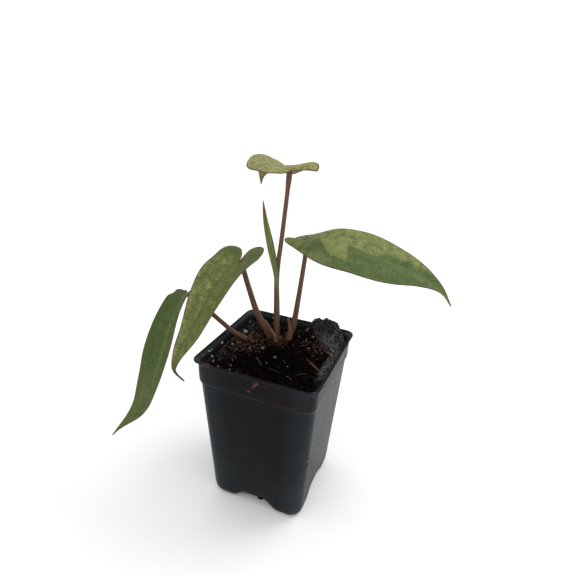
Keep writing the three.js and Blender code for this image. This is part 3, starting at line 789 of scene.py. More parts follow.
def petiole_piece(name, shape, material):
    """A stalk with a groove, a swollen knee below the blade and a wide foot."""
    base, end = shape["base"], shape["end"]

    def radius(along, around):
        r = end + (base - end) * (1 - along) ** 2.6
        knee = 0.28 * bell((along - 0.965) / 0.035)
        groove = 0.12 * bell((around - 0.5) * 8) * smooth(along * 6)
        wobble = 0.05 * (layered_noise(along * 22, around * 4, 5) - 0.5)
        return r * (1 + knee - groove + wobble)

    tube_piece(f"petiole_{name}", material, shape["path"], 24, 150, radius)


def rolled_piece(material):
    """The rolled leaf on its stalk. Its section is a spiral, so one edge stands over the other."""
    stalk, widest, widest_at = ROLLED["stalk"], ROLLED["widest"], ROLLED["widest_at"]

    def radius(along, around):
        opening = smooth((along - ROLLED["start_at"]) / (widest_at - ROLLED["start_at"]))
        late = np.clip((along - widest_at) / (1 - widest_at), 0, 1)
        blade = widest * np.cos(np.pi / 2 * late) ** 0.9
        size = stalk + (blade + 0.25 - stalk) * opening
        spiral = 1 + ROLLED["overlap"] * (around - 0.5) * smooth((along - 0.3) / 0.2)
        return size * spiral

    tube_piece("rolled_leaf", material, ROLLED["path"], 48, 220, radius,
               ROLLED["turn"])


def sheath_piece(name, shape, material):
    """A tapered scrap of dry sheath with a ragged surface."""

    def radius(along, around):
        ragged = 1 + 0.7 * (layered_noise(along * 9 + 3, around * 12, 21) - 0.5)
        return (shape["base"] + (shape["end"] - shape["base"]) * along) * ragged

    tube_piece(name, material, shape["path"], 24, 60, radius)


petiole_looks, sheath_looks = petiole_material(), sheath_material()
for stalk_name, shape in PETIOLES.items():
    petiole_piece(stalk_name, shape, petiole_looks)
rolled_piece(rolled_material())
for sheath_name, shape in SHEATHS.items():
    sheath_piece(sheath_name, shape, sheath_looks)


# Pot


def arch_raise(half, z, u):
    """How far the underside's arches lift a point of the pot's wall or floor."""
    fade = 1 - smooth(z / ARCH_FADE)
    inwards = smooth((half - (POT_BASE - ARCH_REACH)) / ARCH_REACH)
    return ARCH_HEIGHT * smooth((ARCH_HALF_WIDTH - u) / ARCH_RAMP) * inwards * fade


SIDE_POINTS = 56
CORNER_POINTS = 12
LARGEST_CORNER = 0.6


def square_ring(half, corner, z, outer_half, outer_z):
    """One ring of the pot's rounded square. The foot arches lift it as they lift the outside
    where that has the half width outer_half and the height outer_z."""
    corner = min(corner, half * LARGEST_CORNER)
    share = np.linspace(-1, 1, SIDE_POINTS, endpoint=False)
    angle = -np.pi / 2 + np.arange(CORNER_POINTS) / CORNER_POINTS * np.pi / 2
    flat = np.column_stack([(half - corner) * share, np.full(SIDE_POINTS, -half)])
    bend = np.column_stack([half - corner + corner * np.cos(angle),
                            -half + corner + corner * np.sin(angle)])
    side = np.vstack([flat, bend])
    ring = []
    for _ in range(4):
        ring.append(side)
        side = np.column_stack([-side[:, 1], side[:, 0]])
    ring = np.vstack(ring)
    return np.column_stack([ring, z + arch_raise(outer_half, outer_z, np.abs(ring).min(1))])


SHOULDER_Z = POT_HEIGHT - COLLAR_DEPTH

# Half width and height along the outside, from the middle of the underside over the lip, and
# then down the inside to the middle of the floor
OUTER_PROFILE = [
    (9, 0), (18, 0), (24, 0), (28.5, 0), (30.8, 0), (32.3, 0.3), (33.6, 0.9), (34.5, 1.9),
    (35.1, 3.1), (35.5, 5), (35.75, 7), (35.9, 9), (36.1, 12), (36.25, 15), (36.4, 18),
    (37, 27.5), (37.7, 38.5), (38.4, 49.5), (39.1, 60.5), (39.8, 71.5), (40.5, 82.5),
    (41.1, 92.5), (41.55, 99.6), (41.65, 100.4), (41.9, 100.9), (42.3, 101.3), (42.5, 101.9),
    (42.62, 102.9), (42.7, 104.5), (42.8, 110), (42.9, 115.6), (43.05, 116.6), (43.5, 117.2),
    (44.05, 117.5), (44.4, 117.85), (44.5, 118.3), (44.4, 118.7), (44.15, 118.93), (43.9, 119),
    (43.6, 118.95), (43.2, 118.6), (42.7, 118.1), (42.1, 117.6), (41.8, 117.1),
]
INNER_PROFILE = [
    (41.65, 116), (41.6, 108), (41.55, 103.9), (41.1, 101.5), (40.55, 100), (39.3, 80.7),
    (38, 60.5), (36.7, 39), (35.3, 18), (34.8, 10.4), (34.3, 4.4), (33.1, 2.2), (31.8, 1.4),
    (26, 1.4), (18, 1.4), (9, 1.4),
]


def pot_material():
    g = Graph("pot_plastic")
    broad = g.noise(26.0, detail=2.0)
    grain = g.noise(0.8, detail=3.0)
    dust = g.noise(2.2, detail=5.0, rough=0.7)
    signed_x, signed_y, height = g.node("SeparateXYZ", {0: g.place}).node.outputs
    x, y = g.math("ABSOLUTE", signed_x), g.math("ABSOLUTE", signed_y)
    reach = g.math("MAXIMUM", x, y)
    # Lighter towards the four corners, the foot and the left: painted reflections of the
    # surroundings, over a broad random unevenness of tone
    corner = g.step(g.math("DIVIDE", g.math("MINIMUM", x, y), reach), 0.45, 1.05)
    painted_sheen_and_mottle = g.total(g.product(corner, 0.75), g.product(g.step(height, 60.0, 0.0), 0.35),
                   g.product(g.step(signed_x, -10.0, -38.0), 0.25), g.sway(broad, 0.4))
    colour = g.mix(painted_sheen_and_mottle, (9, 9, 11), (34, 41, 45))
    # Dusty inside the collar, darker low down next to the mix, and brown stains towards the rim
    inside = g.product(g.step(reach, 42.35, 42.0), g.step(height, 102.0, 103.0))
    colour = g.over(colour, (53, 59, 63), inside, g.scaled(dust, 0.5, 1.2))
    low_inside_dark = g.step(g.total(height, g.sway(dust, 14.0)), 116.5, 113.5)
    colour = g.over(colour, (21, 19, 18), inside, low_inside_dark, 0.85)
    stain = g.product(g.step(dust, 0.52, 0.72), g.step(height, 88.0, 117.0))
    colour = g.over(colour, (62, 50, 43), stain, 0.35)
    scratch = g.noise(1.2, g.stretched(1, 1, 0.12), detail=2.0)
    rough = g.total(g.scaled(broad, 0.31, 0.41), g.product(stain, 0.3),
                    g.product(g.step(scratch, 0.55, 0.75), 0.1))
    return g.finish(colour, rough, g.bump((grain, 0.03), (g.noise(9.0), 0.25)), 0.08)


def drain_holes():
    """Place, height, stretch and turn of each drain hole: four round ones in the floor and a
    long one in the foot arch of each side."""
    for x in (-DRAIN_SPREAD, DRAIN_SPREAD):
        for y in (-DRAIN_SPREAD, DRAIN_SPREAD):
            yield x, y, 0, 1, 0
    reach = POT_BASE - ARCH_DRAIN["inset"]
    for side in range(4):
        turn = side * np.pi / 2
        x, y = reach * np.sin(turn), -reach * np.cos(turn)
        yield x, y, ARCH_DRAIN["height"], ARCH_DRAIN["stretch"], turn


def drill(pot, x, y, z, stretch, turn):
    """Cuts a hole straight up through the pot's underside."""
    sides, depth = 32, 14
    angle = np.linspace(0, 2 * np.pi, sides, endpoint=False)
    circle = np.column_stack([DRAIN_RADIUS * stretch * np.cos(angle),
                              DRAIN_RADIUS * np.sin(angle)])
    spun = circle @ np.array([[np.cos(turn), np.sin(turn)], [-np.sin(turn), np.cos(turn)]])
    low = np.column_stack([spun + (x, y), np.full(sides, z - depth / 2)])
    mesh = bpy.data.meshes.new("cutter")
    mesh.from_pydata((np.vstack([low, low + (0, 0, depth)]) * MM).tolist(), [],
                     tube_faces(2, sides))
    cutter = add_object("cutter", mesh)
    cut = pot.modifiers.new("drain", "BOOLEAN")
    cut.operation, cut.object, cut.solver = "DIFFERENCE", cutter, "EXACT"
    bpy.context.view_layer.update()
    evaluated = pot.evaluated_get(bpy.context.evaluated_depsgraph_get())
    made = bpy.data.meshes.new_from_object(evaluated)
    pot.modifiers.clear()
    pot.data = made
    bpy.data.objects.remove(cutter)


def pot_piece():
    rings = []
    for half, z in OUTER_PROFILE:
        corner = CORNER_RADIUS - (LIP["tighter"] if z > LIP["from"] else 0)
        rings.append(square_ring(half, corner, z, half, z))
    for half, z in INNER_PROFILE:
        rings.append(square_ring(half, CORNER_RADIUS - POT_WALL, z, half + POT_WALL, z - POT_FLOOR))
    faces = tube_faces(len(rings), len(rings[0]))
    pot = add_piece("pot_fine", np.vstack(rings), faces, pot_material(), ["pot"])
    for hole in drain_holes():
        drill(pot, *hole)


pot_piece()


# Potting mix


def lumps(x, y):
    wide = np.sin(x * 0.9 + 1.3 * np.sin(y * 0.55)) * np.cos(y * 0.8 - 0.9 * np.sin(x * 0.4))
    return wide * 0.6 + np.sin(x * 0.37 + y * 0.21 + 2) * 0.5 + np.cos(y * 1.7 + x * 0.6) * 0.25


def soil_top(x, y):
    """Height of the potting mix without its crumbs."""
    mound = SOIL_MOUND * bell(np.hypot(x - CROWN["x"], y - CROWN["y"]) / MOUND_ACROSS)
    away = ((x - HEAP["x"]) / HEAP["across"]) ** 4 + ((y - HEAP["y"]) / HEAP["deep"]) ** 2
    heap = (HEAP["height"] + LOOSE_CRUMBS) * np.exp(-away)
    return SOIL_LEVEL + mound + heap + SOIL_LUMPS * lumps(x, y)


SOIL_CELLS = 250
SOIL_INSET = POT_WALL + 0.3
SOIL_HALF = POT_COLLAR - SOIL_INSET - 0.2
SOIL_PITCH = 2 * SOIL_HALF / SOIL_CELLS
SOIL_FLOOR = 1.7
CRUMB_COUNT = 16000
CRUMB_SIZES = (0.3, 1.3)


def rounded(x, y, half, corner):
    """Moves the points of a square grid onto one with rounded corners."""
    reach = np.maximum(np.maximum(np.abs(x), np.abs(y)), 1e-9)
    radius = corner * reach / half
    small = np.minimum(np.abs(x), np.abs(y))
    turn = np.clip((small - (reach - radius)) / radius, 0, 1) * np.pi / 4
    bent = small > reach - radius
    big_to = np.where(bent, reach - radius + radius * np.cos(turn), reach)
    small_to = np.where(bent, reach - radius + radius * np.sin(turn), small)
    x_big = np.abs(x) >= np.abs(y)
    return (np.sign(x) * np.where(x_big, big_to, small_to),
            np.sign(y) * np.where(x_big, small_to, big_to))


def rust(x, y):
    """How much of the mix is reddish fibre at a place, from 0 to 1: most at the left, and least
    in the middle of the front."""
    left = bell(np.hypot((x + 25) / 12, (y - 7) / 12))
    ring = 0.24 * smooth(np.hypot((x - 4) / 36, (y + 12) / 34) - 0.1)
    right = 0.45 * bell(np.hypot((x - 27) / 12, (y - 22) / 10))
    return np.clip((left + ring + right) * (1 - 0.85 * dust(x, y)) - 0.03, 0, 1)


def dust(x, y):
    """How greyish the mix is at a place: all of the back right corner, the right edge, and a
    little of the left corner. At the right edge the grey is partly painted light that offsets the
    shade under the lip."""
    ragged = 7 * (layered_noise(x / 4 + 30, y / 4 + 30, 77) - 0.5)
    corner = smooth((0.56 * x + 0.83 * y - 33 + ragged) / 6)
    # Painted light: the right edge is made lighter to offset the shade in the recess under the lip
    edge = smooth((x - 32.5) / 3) * smooth((y + 22) / 12)
    rest = 0.5 * smooth((np.maximum(np.abs(x), np.abs(y)) - 36) / 5)
    left = 0.26 * smooth((-x - 24) / 10) * smooth((y + 34) / 20)
    return np.maximum.reduce([corner, edge, rest, left])


def browned(x, y):
    """How brown the mix is round the foot of the stalks."""
    stem = bell(np.hypot(x - CROWN["x"] - 1, y - CROWN["y"] + 3) / 11)
    return np.maximum(stem, 0.8 * bell(np.hypot(x + 22, y - 8) / 6))


def crumbled(x, y, rng):
    """Height of the mix with round crumbs on it, and a tone that is the same all over each."""
    z = soil_top(x, y) - 0.5 + 0.5 * layered_noise(x / 1.5 + 50, y / 1.5 + 50, 3)
    tone = np.full(x.shape, 0.5)
    smallest, largest = CRUMB_SIZES
    for _ in range(CRUMB_COUNT):
        i, j = rng.integers(0, len(x), 2)
        r = smallest + (largest - smallest) * rng.random() ** 2.5
        squash, colour, stretch, turn = rng.uniform((0.5, 0, 1, 0), (1.1, 1, 2.2, np.pi))
        w = int(r * stretch / SOIL_PITCH) + 2
        part = (slice(max(0, i - w), i + w + 1), slice(max(0, j - w), j + w + 1))
        dx, dy = x[part] - x[i, j], y[part] - y[i, j]
        a, b = dx * np.cos(turn) + dy * np.sin(turn), dy * np.cos(turn) - dx * np.sin(turn)
        inside = 1 - (a / (r * stretch)) ** 2 - (b / r) ** 2
        dome = soil_top(x[part], y[part]) - 0.35 * r
        dome = dome + r * squash * np.sqrt(np.clip(inside, 0, 1))
        higher = (inside > 0) & (dome > z[part])
        z[part] = np.where(higher, dome, z[part])
        tone[part] = np.where(higher, colour, tone[part])
    return z, tone


grid_line = np.linspace(-SOIL_HALF, SOIL_HALF, SOIL_CELLS + 1)
soil_x, soil_y = rounded(*np.meshgrid(grid_line, grid_line, indexing="ij"), SOIL_HALF,
                         CORNER_RADIUS - SOIL_INSET)
soil_z, soil_tone = crumbled(soil_x, soil_y, np.random.default_rng(11))


def ground(x, y):
    """Height of the crumbled mix at a place."""
    cell = np.round((np.stack([x, y]) + SOIL_HALF) / SOIL_PITCH)
    i, j = np.clip(cell, 0, SOIL_CELLS).astype(int)
    return soil_z[i, j]


def resting(x, y, up):
    """A place up millimetres above the mix."""
    return x, y, ground(x, y) + up


def within(x):
    """A place along X or Y, brought inside the mix."""
    return np.clip(x, -SOIL_HALF, SOIL_HALF)


def mix_looks(x, y, tone):
    """The named numbers that colour the mix where it lies in the pot."""
    return {"tone": tone, "rust": rust(x, y), "dust": dust(x, y), "brown": browned(x, y)}


def soil_material():
    """Near black, with rusty crumbs, a brown patch round the stalks and a grey bloom, which along
    the right edge is partly painted light.
    """
    g = Graph("potting_mix")
    tone, rusted, stained, grey_bloom_and_painted_light = map(g.value, ("tone", "rust", "brown", "dust"))
    grain = g.noise(0.4, detail=4.0, rough=0.7)
    speck = g.noise(0.9, detail=3.0, rough=0.8)
    colour = g.mix(g.step(grain, 0.4, 0.8), (2, 1, 1), (11, 8, 7))
    rusty = g.step(g.total(tone, g.product(speck, 0.35)), 0.84, 1.12)
    colour = g.over(colour, (86, 59, 48), rusty, rusted, 0.95)
    brown = g.step(g.total(speck, g.product(stained, 0.5)), 0.72, 0.95)
    colour = g.over(colour, (62, 41, 32), brown, stained)
    lit = g.total(speck, g.sway(tone, 0.25))
    # The grey bloom, partly painted light along the right edge
    grey = g.mix(g.step(lit, 0.4, 0.62), (30, 32, 35), (98, 102, 106))
    colour = g.over(colour, grey, grey_bloom_and_painted_light, g.scaled(grain, 0.75, 1.0))
    colour = g.over(colour, (88, 92, 94), g.step(speck, 0.64, 0.74), grey_bloom_and_painted_light, 0.6)
    return g.finish(colour, g.scaled(grain, 0.75, 1.0), g.bump((grain, 0.3)), 0.03)


# Half width, height and whether the foot arches lift it, for each ring of the mix in the pot
SOIL_SKIRT = [
    (POT_SHOULDER - SOIL_INSET, SHOULDER_Z - 1, False), (POT_BASE + 1 - SOIL_INSET, 18, True),
    (POT_BASE + 0.5 - SOIL_INSET, 10.7, True), (POT_BASE - SOIL_INSET, 4.7, True),
    (POT_BASE - 1.2 - SOIL_INSET, 2.5, True), (POT_BASE - 3.9, SOIL_FLOOR, True),
    (26, SOIL_FLOOR, True), (18, SOIL_FLOOR, True), (9, SOIL_FLOOR, True),
]


def soil_piece(material):
    n = SOIL_CELLS + 1
    row = np.arange(n - 1)
    loop = np.concatenate([row * n, (n - 1) * n + row, row[::-1] * n + n * 2 - 1, row[::-1] + 1])
    top = np.column_stack([soil_x.ravel(), soil_y.ravel(), soil_z.ravel()])
    faces = grid_faces(n, n)[:, ::-1].tolist()
    points, ahead, start = [top], loop, n * n
    for half, height, lifted in SOIL_SKIRT:
        at = top[loop, :2] * half / SOIL_HALF
        lift = arch_raise(half + SOIL_INSET, height - SOIL_FLOOR, np.abs(at).min(1)) * lifted
        points.append(np.column_stack([at, height + lift]))
        ring = start + np.arange(len(loop))
        faces += np.column_stack([ahead, ring, np.roll(ring, -1), np.roll(ahead, -1)]).tolist()
        ahead, start = ring, start + len(loop)
    faces.append(ahead.tolist()[::-1])
    points = np.vstack(points)
    tone = np.concatenate([soil_tone.ravel(), np.full(len(points) - n * n, 0.5)])
    return add_piece("soil_bed", points, faces, material, ["soil"],
                     mix_looks(points[:, 0], points[:, 1], tone))


earth = soil_material()
soil_piece(earth)


# Crumbs, fibres and white grains


def unit_ball(subdivisions):
    ball = bmesh.new()
    bmesh.ops.create_icosphere(ball, subdivisions=subdivisions, radius=1)
    points = np.array([v.co for v in ball.verts])
    faces = np.array([[v.index for v in f.verts] for f in ball.faces])
    ball.free()
    return points, faces


BALLS = {n: unit_ball(n) for n in (1, 2)}


def chunk(rng, size, place, detail, rough, flat=1.0, long=1.4):
    """An uneven grain: its points and faces."""
    points, faces = BALLS[detail]
    waves = rng.normal(0, 2.2, (6, 3))
    phase = rng.uniform(0, 2 * np.pi, 6)
    swell = 1 + rough * np.sin(points @ waves.T + phase).sum(1) / 2
    stretch = np.array([rng.uniform(1, long), 1, rng.uniform(0.6, 1)])
    shaped = points * swell[:, None] * stretch
    turn, _ = np.linalg.qr(rng.normal(size=(3, 3)))
    if np.linalg.det(turn) < 0:
        turn[0] *= -1
    shaped = shaped @ turn
    shaped[:, 2] *= flat
    return shaped * size + place, faces


def strand(points, radius, sides=5):
    """A thin tapered fibre through the given points."""
    points = np.asarray(points, float)
    tangents = unit(np.gradient(points, axis=0))
    normals = unit(np.cross(tangents, (0.3, 0.2, 1.0)))
    share = np.linspace(-1, 1, len(points))
    radii = radius * np.sqrt(np.clip(1 - 0.85 * share**4, 0, 1))
    angles = np.arange(sides) / sides * 2 * np.pi
    return skin(points, tangents, normals, radii[:, None], angles), tube_faces(len(points), sides)


def scatter_piece(name, parts, material, smooth_faces=False,
                  looks=mix_looks):
    """One piece from many (points, faces, tone)."""
    points, faces, tone, start = [], [], [], 0
    for part_points, part_faces, part_tone in parts:
        points.append(part_points)
        faces += [[start + i for i in face] for face in part_faces]
        tone.append(np.full(len(part_points), part_tone))
        start += len(part_points)
    points = np.vstack(points)
    values = looks(points[:, 0], points[:, 1], np.concatenate(tone))
    return add_piece(name, points, faces, material, values=values,
                     smooth_faces=smooth_faces)


# Heights between which the mix is looked for along a ray, and in how many steps
HIGHEST_MIX = 132
LOWEST_MIX = 100
RAY_STEPS = 800


def ray(px, py):
    """Direction from the camera through a pixel of the photograph."""
    middle = FRAME_PIXELS / 2
    aim = (px - middle) * CAMERA_RIGHT - (py - middle) * CAMERA_UP
    return unit(aim - FOCAL_PIXELS * CAMERA_BACK)


def on_soil(px, py):
    """Point of the mix, or of the wall round it, that a pixel of the photograph shows. A pixel
    just above them gives the nearest point on them."""
    aim = ray(px, py)
    reach = (np.linspace(HIGHEST_MIX, LOWEST_MIX, RAY_STEPS) - CAMERA_PLACE[2]) / aim[2]
    line = CAMERA_PLACE + reach[:, None] * aim
    out = np.abs(line[:, :2]).max(1)
    top = np.where(out < SOIL_HALF, ground(line[:, 0], line[:, 1]), POT_HEIGHT)
    clear = np.where(out < POT_COLLAR, line[:, 2] - top, np.inf)
    met = np.argmax(clear < 0) if clear.min() < 0 else np.argmin(clear)
    return np.array([*line[met, :2], min(line[met, 2], top[met])])


# The rows of the outer profile from the edge of the foot to the lip
WALL_ROWS = slice(6, 33)
WALL_HALVES, WALL_HEIGHTS = zip(*OUTER_PROFILE[WALL_ROWS])


def wall_half(z):
    """Half width of the pot's outside at a height."""
    return np.interp(z, WALL_HEIGHTS, WALL_HALVES)


def on_wall(px, py, side):
    """Point of the pot's front (side 1) or right (side 0) wall that a pixel shows."""
    aim = ray(px, py)
    sign = 1 if side == 0 else -1
    z = 90
    for _ in range(6):
        reach = (sign * wall_half(z) - CAMERA_PLACE[side]) / aim[side]
        point = CAMERA_PLACE + reach * aim
        z = point[2]
    return point


def on_rim(px, py):
    """Point that a pixel shows in the plane of the pot's rim."""
    aim = ray(px, py)
    return CAMERA_PLACE + aim * (POT_HEIGHT - CAMERA_PLACE[2]) / aim[2]


def averaged(values, width):
    """Running average over an odd number of values."""
    return np.convolve(np.pad(values, width // 2, "edge"), np.ones(width) / width, "valid")


def fibre(rng, start, length, heading, radius, lift):
    """A fibre that lies on the mix."""
    steps = max(6, int(length / 0.8))
    turn = np.cumsum(rng.normal(0, 0.12, steps)) + heading + rng.normal(0, 0.08) * np.arange(steps)
    step = length / steps
    x = within(start[0] + np.cumsum(np.cos(turn)) * step)
    y = within(start[1] + np.cumsum(np.sin(turn)) * step)
    z = averaged(ground(x, y), 5) + radius * 0.6 + lift * np.sin(np.linspace(0, np.pi, steps))
    return np.column_stack([x, y, z])


def random_place(rng, weight):
    """A random place on the mix, taken more often where weight(x, y) is high."""
    while True:
        x, y = rng.uniform(-SOIL_HALF + 0.5, SOIL_HALF - 0.5, 2)
        if rng.random() < weight(x, y):
            return x, y


# Where crumbs lie round a stalk's foot: pixel, spread in millimetres and how many
STALK_FEET = ((246.5, 338.5, 2.4, 40), (268, 338, 6, 60), (287, 338, 5, 50))

# Line and height of the left stalk where it leaves the mix, and their slopes along X
LEFT_FOOT = {"x": -24.7, "y": 7.4, "z": 111.6, "aside": 0.44, "rise": -0.42}

# Pixels and sizes in millimetres of the large crumbs on the heap
HEAP_CRUMBS = ((325, 319.5, 1.2), (320, 320.5, 1.0), (333, 322, 1.0), (337, 323.5, 0.9),
               (315, 322, 0.9))


def crumb_piece(material):
    """Loose crumbs on the mix."""
    rng = np.random.default_rng(23)
    parts = []

    def crumb(x, y, size, detail, rough, tone, raised=0.25):
        place = resting(x, y, raised * size)
        parts.append((*chunk(rng, size, place, detail, rough, flat=0.8), tone))

    # All over the mix
    for _ in range(2200):
        x, y = random_place(rng, lambda x, y: 1)
        crumb(x, y, 0.25 + 0.65 * rng.random() ** 3, 1, 0.3, rng.random())
    # The heap
    for _ in range(420):
        away = rng.normal(0, 0.45, 2) * (HEAP["across"], HEAP["deep"])
        x = within(HEAP["x"] + away[0])
        y = np.clip(HEAP["y"] - abs(away[1]), -SOIL_HALF, SOIL_HALF - 0.5)
        size, tone = 0.4 + 0.7 * rng.random() ** 2, 0.5 * rng.random()
        crumb(x, y, size, 2, 0.35, tone, raised=rng.uniform(0, 0.8))
    # Round the foot of the stalks
    for px, py, across, count in STALK_FEET:
        middle = on_soil(px, py)
        for _ in range(count):
            x, y = middle[:2] + rng.normal(0, across, 2) * (1, 0.6)
            crumb(x, y, 0.35 + 0.7 * rng.random() ** 2, 1, 0.3, rng.random(), raised=0.5)
    # Banked over the foot of the left stalk
    for _ in range(150):
        x = rng.uniform(-29, -16)
        turn = rng.uniform(0, 2 * np.pi)
        bank = rng.uniform(1.5, 2.2) * smooth((x + 31) / 5)
        along = x - LEFT_FOOT["x"]
        y = LEFT_FOOT["y"] + LEFT_FOOT["aside"] * along + bank * np.cos(turn)
        z = LEFT_FOOT["z"] + LEFT_FOOT["rise"] * along + bank * np.sin(turn)
        size = 0.35 + 0.6 * rng.random() ** 2
        if z > ground(x, y):
            parts.append((*chunk(rng, size, (x, y, z), 1, 0.35), rng.random()))
    for px, py, size in HEAP_CRUMBS:
        parts.append((*chunk(rng, size, on_soil(px, py) + (0, 0, 0.1), 2, 0.35), 0.2))
    scatter_piece("soil_crumbs", parts, material)


# Pixels of the photograph at which a white grain lies, with its size in millimetres and how
# stained it is
WHITE_GRAINS = (
    (245.4, 332.5, 2.4, 0.1), (222, 342.9, 2.1, 0.1), (209.3, 351.4, 1.5, 0), (212, 349.5, 1, 0),
    (212.1, 356.8, 1.5, 0.1), (203, 355.7, 0.8, 0.2), (213, 361.5, 1.6, 0.8),
    (232.5, 344.3, 1.3, 0.5), (237.6, 342.4, 0.9, 0.2), (250, 320.5, 1.1, 0.5),
    (250, 322.8, 1.3, 0.4), (273.2, 318.2, 1, 0.2), (273.2, 323.6, 0.9, 0.1),
    (250, 348.2, 1.4, 0.8), (262.4, 348.2, 1.5, 0.7), (275, 357.9, 1.7, 0.8),
    (266.4, 363.2, 0.7, 0.6), (287.4, 367.1, 0.7, 0.5), (218.2, 366.4, 1.1, 0.9),
    (229.6, 369.6, 0.8, 0.8), (230, 365, 1, 1), (258.9, 351.8, 0.9, 1), (257.1, 344.3, 1, 1),
    (308, 330, 1.8, 0.7), (306.3, 340.5, 0.8, 0.1), (313.5, 337, 0.9, 0.5), (303, 334.5, 0.8, 0.8),
    (320.5, 340.8, 0.9, 0.3), (308.5, 348.8, 1, 0.4), (331, 349.7, 1.1, 0), (333, 351.2, 0.9, 0),
    (320, 374, 0.7, 0.5), (287, 320, 0.8, 0.8), (299, 352, 0.6, 1),
)


def grain_material():
    g = Graph("perlite")
    grain = g.noise(0.5, detail=4.0)
    stain = g.step(g.total(g.noise(1.3, detail=2.0), g.value("tone")), 0.5, 1.5)
    colour = g.mix(stain, (166, 160, 150), (84, 75, 70))
    return g.finish(colour, g.scaled(grain, 0.8, 1.0), g.bump((grain, 0.25)))


def white_grain_piece():
    rng = np.random.default_rng(31)
    parts = []
    for px, py, size, stained in WHITE_GRAINS:
        place = on_soil(px, py) + (0, 0, 0.15 * size)
        parts.append((*chunk(rng, 0.58 * size, place, 2, 0.3), stained))
    for _ in range(24):
        x, y = random_place(rng, lambda x, y: 0.1 + dust(x, y))
        size = rng.uniform(0.25, 0.5)
        grain = chunk(rng, size, resting(x, y, 0.2 * size), 2, 0.3)
        parts.append((*grain, rng.uniform(0.5, 1)))
    scatter_piece("white_grains", parts, grain_material())


# Fibres that stand out in the photograph: pixels along each, its radius in millimetres and how
# light it is
LONG_FIBRES = (
    (((307, 360), (313, 366), (319.5, 371.5)), 0.5, 0.75),
    (((237.9, 337.1), (227.1, 344.3), (221.4, 350.7)), 0.32, 0.6),
    (((221.4, 350.7), (220.4, 352.5), (220, 354.3)), 0.3, 0.6),
    (((222.1, 350.7), (224.4, 352.8), (226, 355.7)), 0.3, 0.6),
    (((225.7, 346.4), (228.2, 347.2), (230.7, 348.6)), 0.45, 0.5),
    (((237.9, 349.3), (236, 350.4), (234.3, 352.1)), 0.4, 0.7),
    (((254.6, 331), (250.8, 335.2), (250.7, 340)), 0.32, 0.7),
    (((232.1, 355.7), (234.5, 356.5), (236.4, 358.6)), 0.35, 0.5),
    (((231.4, 357.9), (232.6, 360), (232.9, 362.1)), 0.35, 0.6),
    (((239, 343.4), (240.5, 343.2), (242.4, 343.8)), 0.6, 0.5),
    (((240.7, 336.4), (244, 337.6), (247.1, 340)), 0.5, 0.35),
    (((236, 334), (234.5, 337), (235.5, 339.5)), 0.28, 0.3),
    (((257.1, 357.9), (259, 362), (261.8, 366.4)), 0.3, 0.4),
    (((233.6, 369.3), (235.5, 371), (237.9, 372.9)), 0.25, 0.4),
    (((283.6, 360.7), (284.4, 362.6), (285.7, 364.3)), 0.25, 0.2),
    (((268.6, 369.3), (274, 370.8), (279.3, 372.5)), 0.22, 0.1),
    (((286, 377.5), (289, 378.3), (292, 380.2)), 0.3, 0.35),
    (((295, 375), (301, 374.4), (307, 374.3)), 0.24, 0.2),
    (((252, 326), (253, 326.8), (254.2, 326.6)), 0.6, 0.45),
    (((315, 332.6), (316, 334), (317, 336)), 0.5, 0.5),
    (((323.5, 344), (326, 345.8), (329, 348.4)), 0.55, 0.5),
    (((326.5, 354.6), (329, 354.4), (331, 356)), 0.6, 0.8),
    (((329, 357), (331.5, 357), (334.5, 358.6)), 0.5, 0.8),
    (((318, 340.8), (319.5, 340.4), (321.4, 341)), 0.4, 0.6),
    (((312, 347.4), (313.4, 348), (315, 349)), 0.3, 0.5),
    (((298.4, 336.4), (299.2, 337.2), (299.8, 338.2)), 0.45, 0.8),
    (((281, 388), (284, 389), (287, 391)), 0.25, 0.3),
)


def fibre_material():
    g = Graph("fibre")
    grain = g.noise(0.6, detail=3.0)
    colour = g.mix(g.value("tone"), (58, 34, 27), (122, 78, 58))
    colour = g.over(colour, (36, 23, 19), grain, 0.4)
    return g.finish(colour, g.scaled(grain, 0.7, 0.95), g.bump((grain, 0.15)))


def fibre_piece():
    """Fibres that lie on the mix, and flat flakes among them."""
    rng = np.random.default_rng(47)
    parts = []
    rusty = lambda x, y: rust(x, y) ** 2
    for pixels, radius, tone in LONG_FIBRES:
        knots = [np.clip(on_soil(*pixel), -SOIL_HALF, [SOIL_HALF, SOIL_HALF, HIGHEST_MIX])
                 for pixel in pixels]
        line, _, _ = spline(knots, 16)
        line[:, 2] = averaged(ground(line[:, 0], line[:, 1]), 7) + radius * 1.3
        parts.append((*strand(line, radius, 6), tone))
    for _ in range(190):
        start = random_place(rng, rusty)
        radius = 0.1 + 0.14 * rng.random() ** 2
        length, heading = rng.uniform(1.5, 6), rng.uniform(0, 2 * np.pi)
        line = fibre(rng, start, length, heading, radius, rng.uniform(0, 0.8))
        parts.append((*strand(line, radius), 0.9 * rng.random() ** 1.5))
    for _ in range(120):
        x, y = random_place(rng, rusty)
        size = rng.uniform(0.3, 0.8)
        flake = chunk(rng, size, resting(x, y, 0.2 * size), 1, 0.3, flat=0.6, long=2.2)
        parts.append((*flake, 0.7 * rng.random()))
    scatter_piece("soil_fibres", parts, fibre_material(), smooth_faces=True)


def spilled_looks(x, y, tone):
    """The numbers that colour bits of the mix outside the pot, as rusty as their tone says."""
    return {"tone": tone, "rust": tone, "dust": 0 * tone, "brown": 0 * tone}


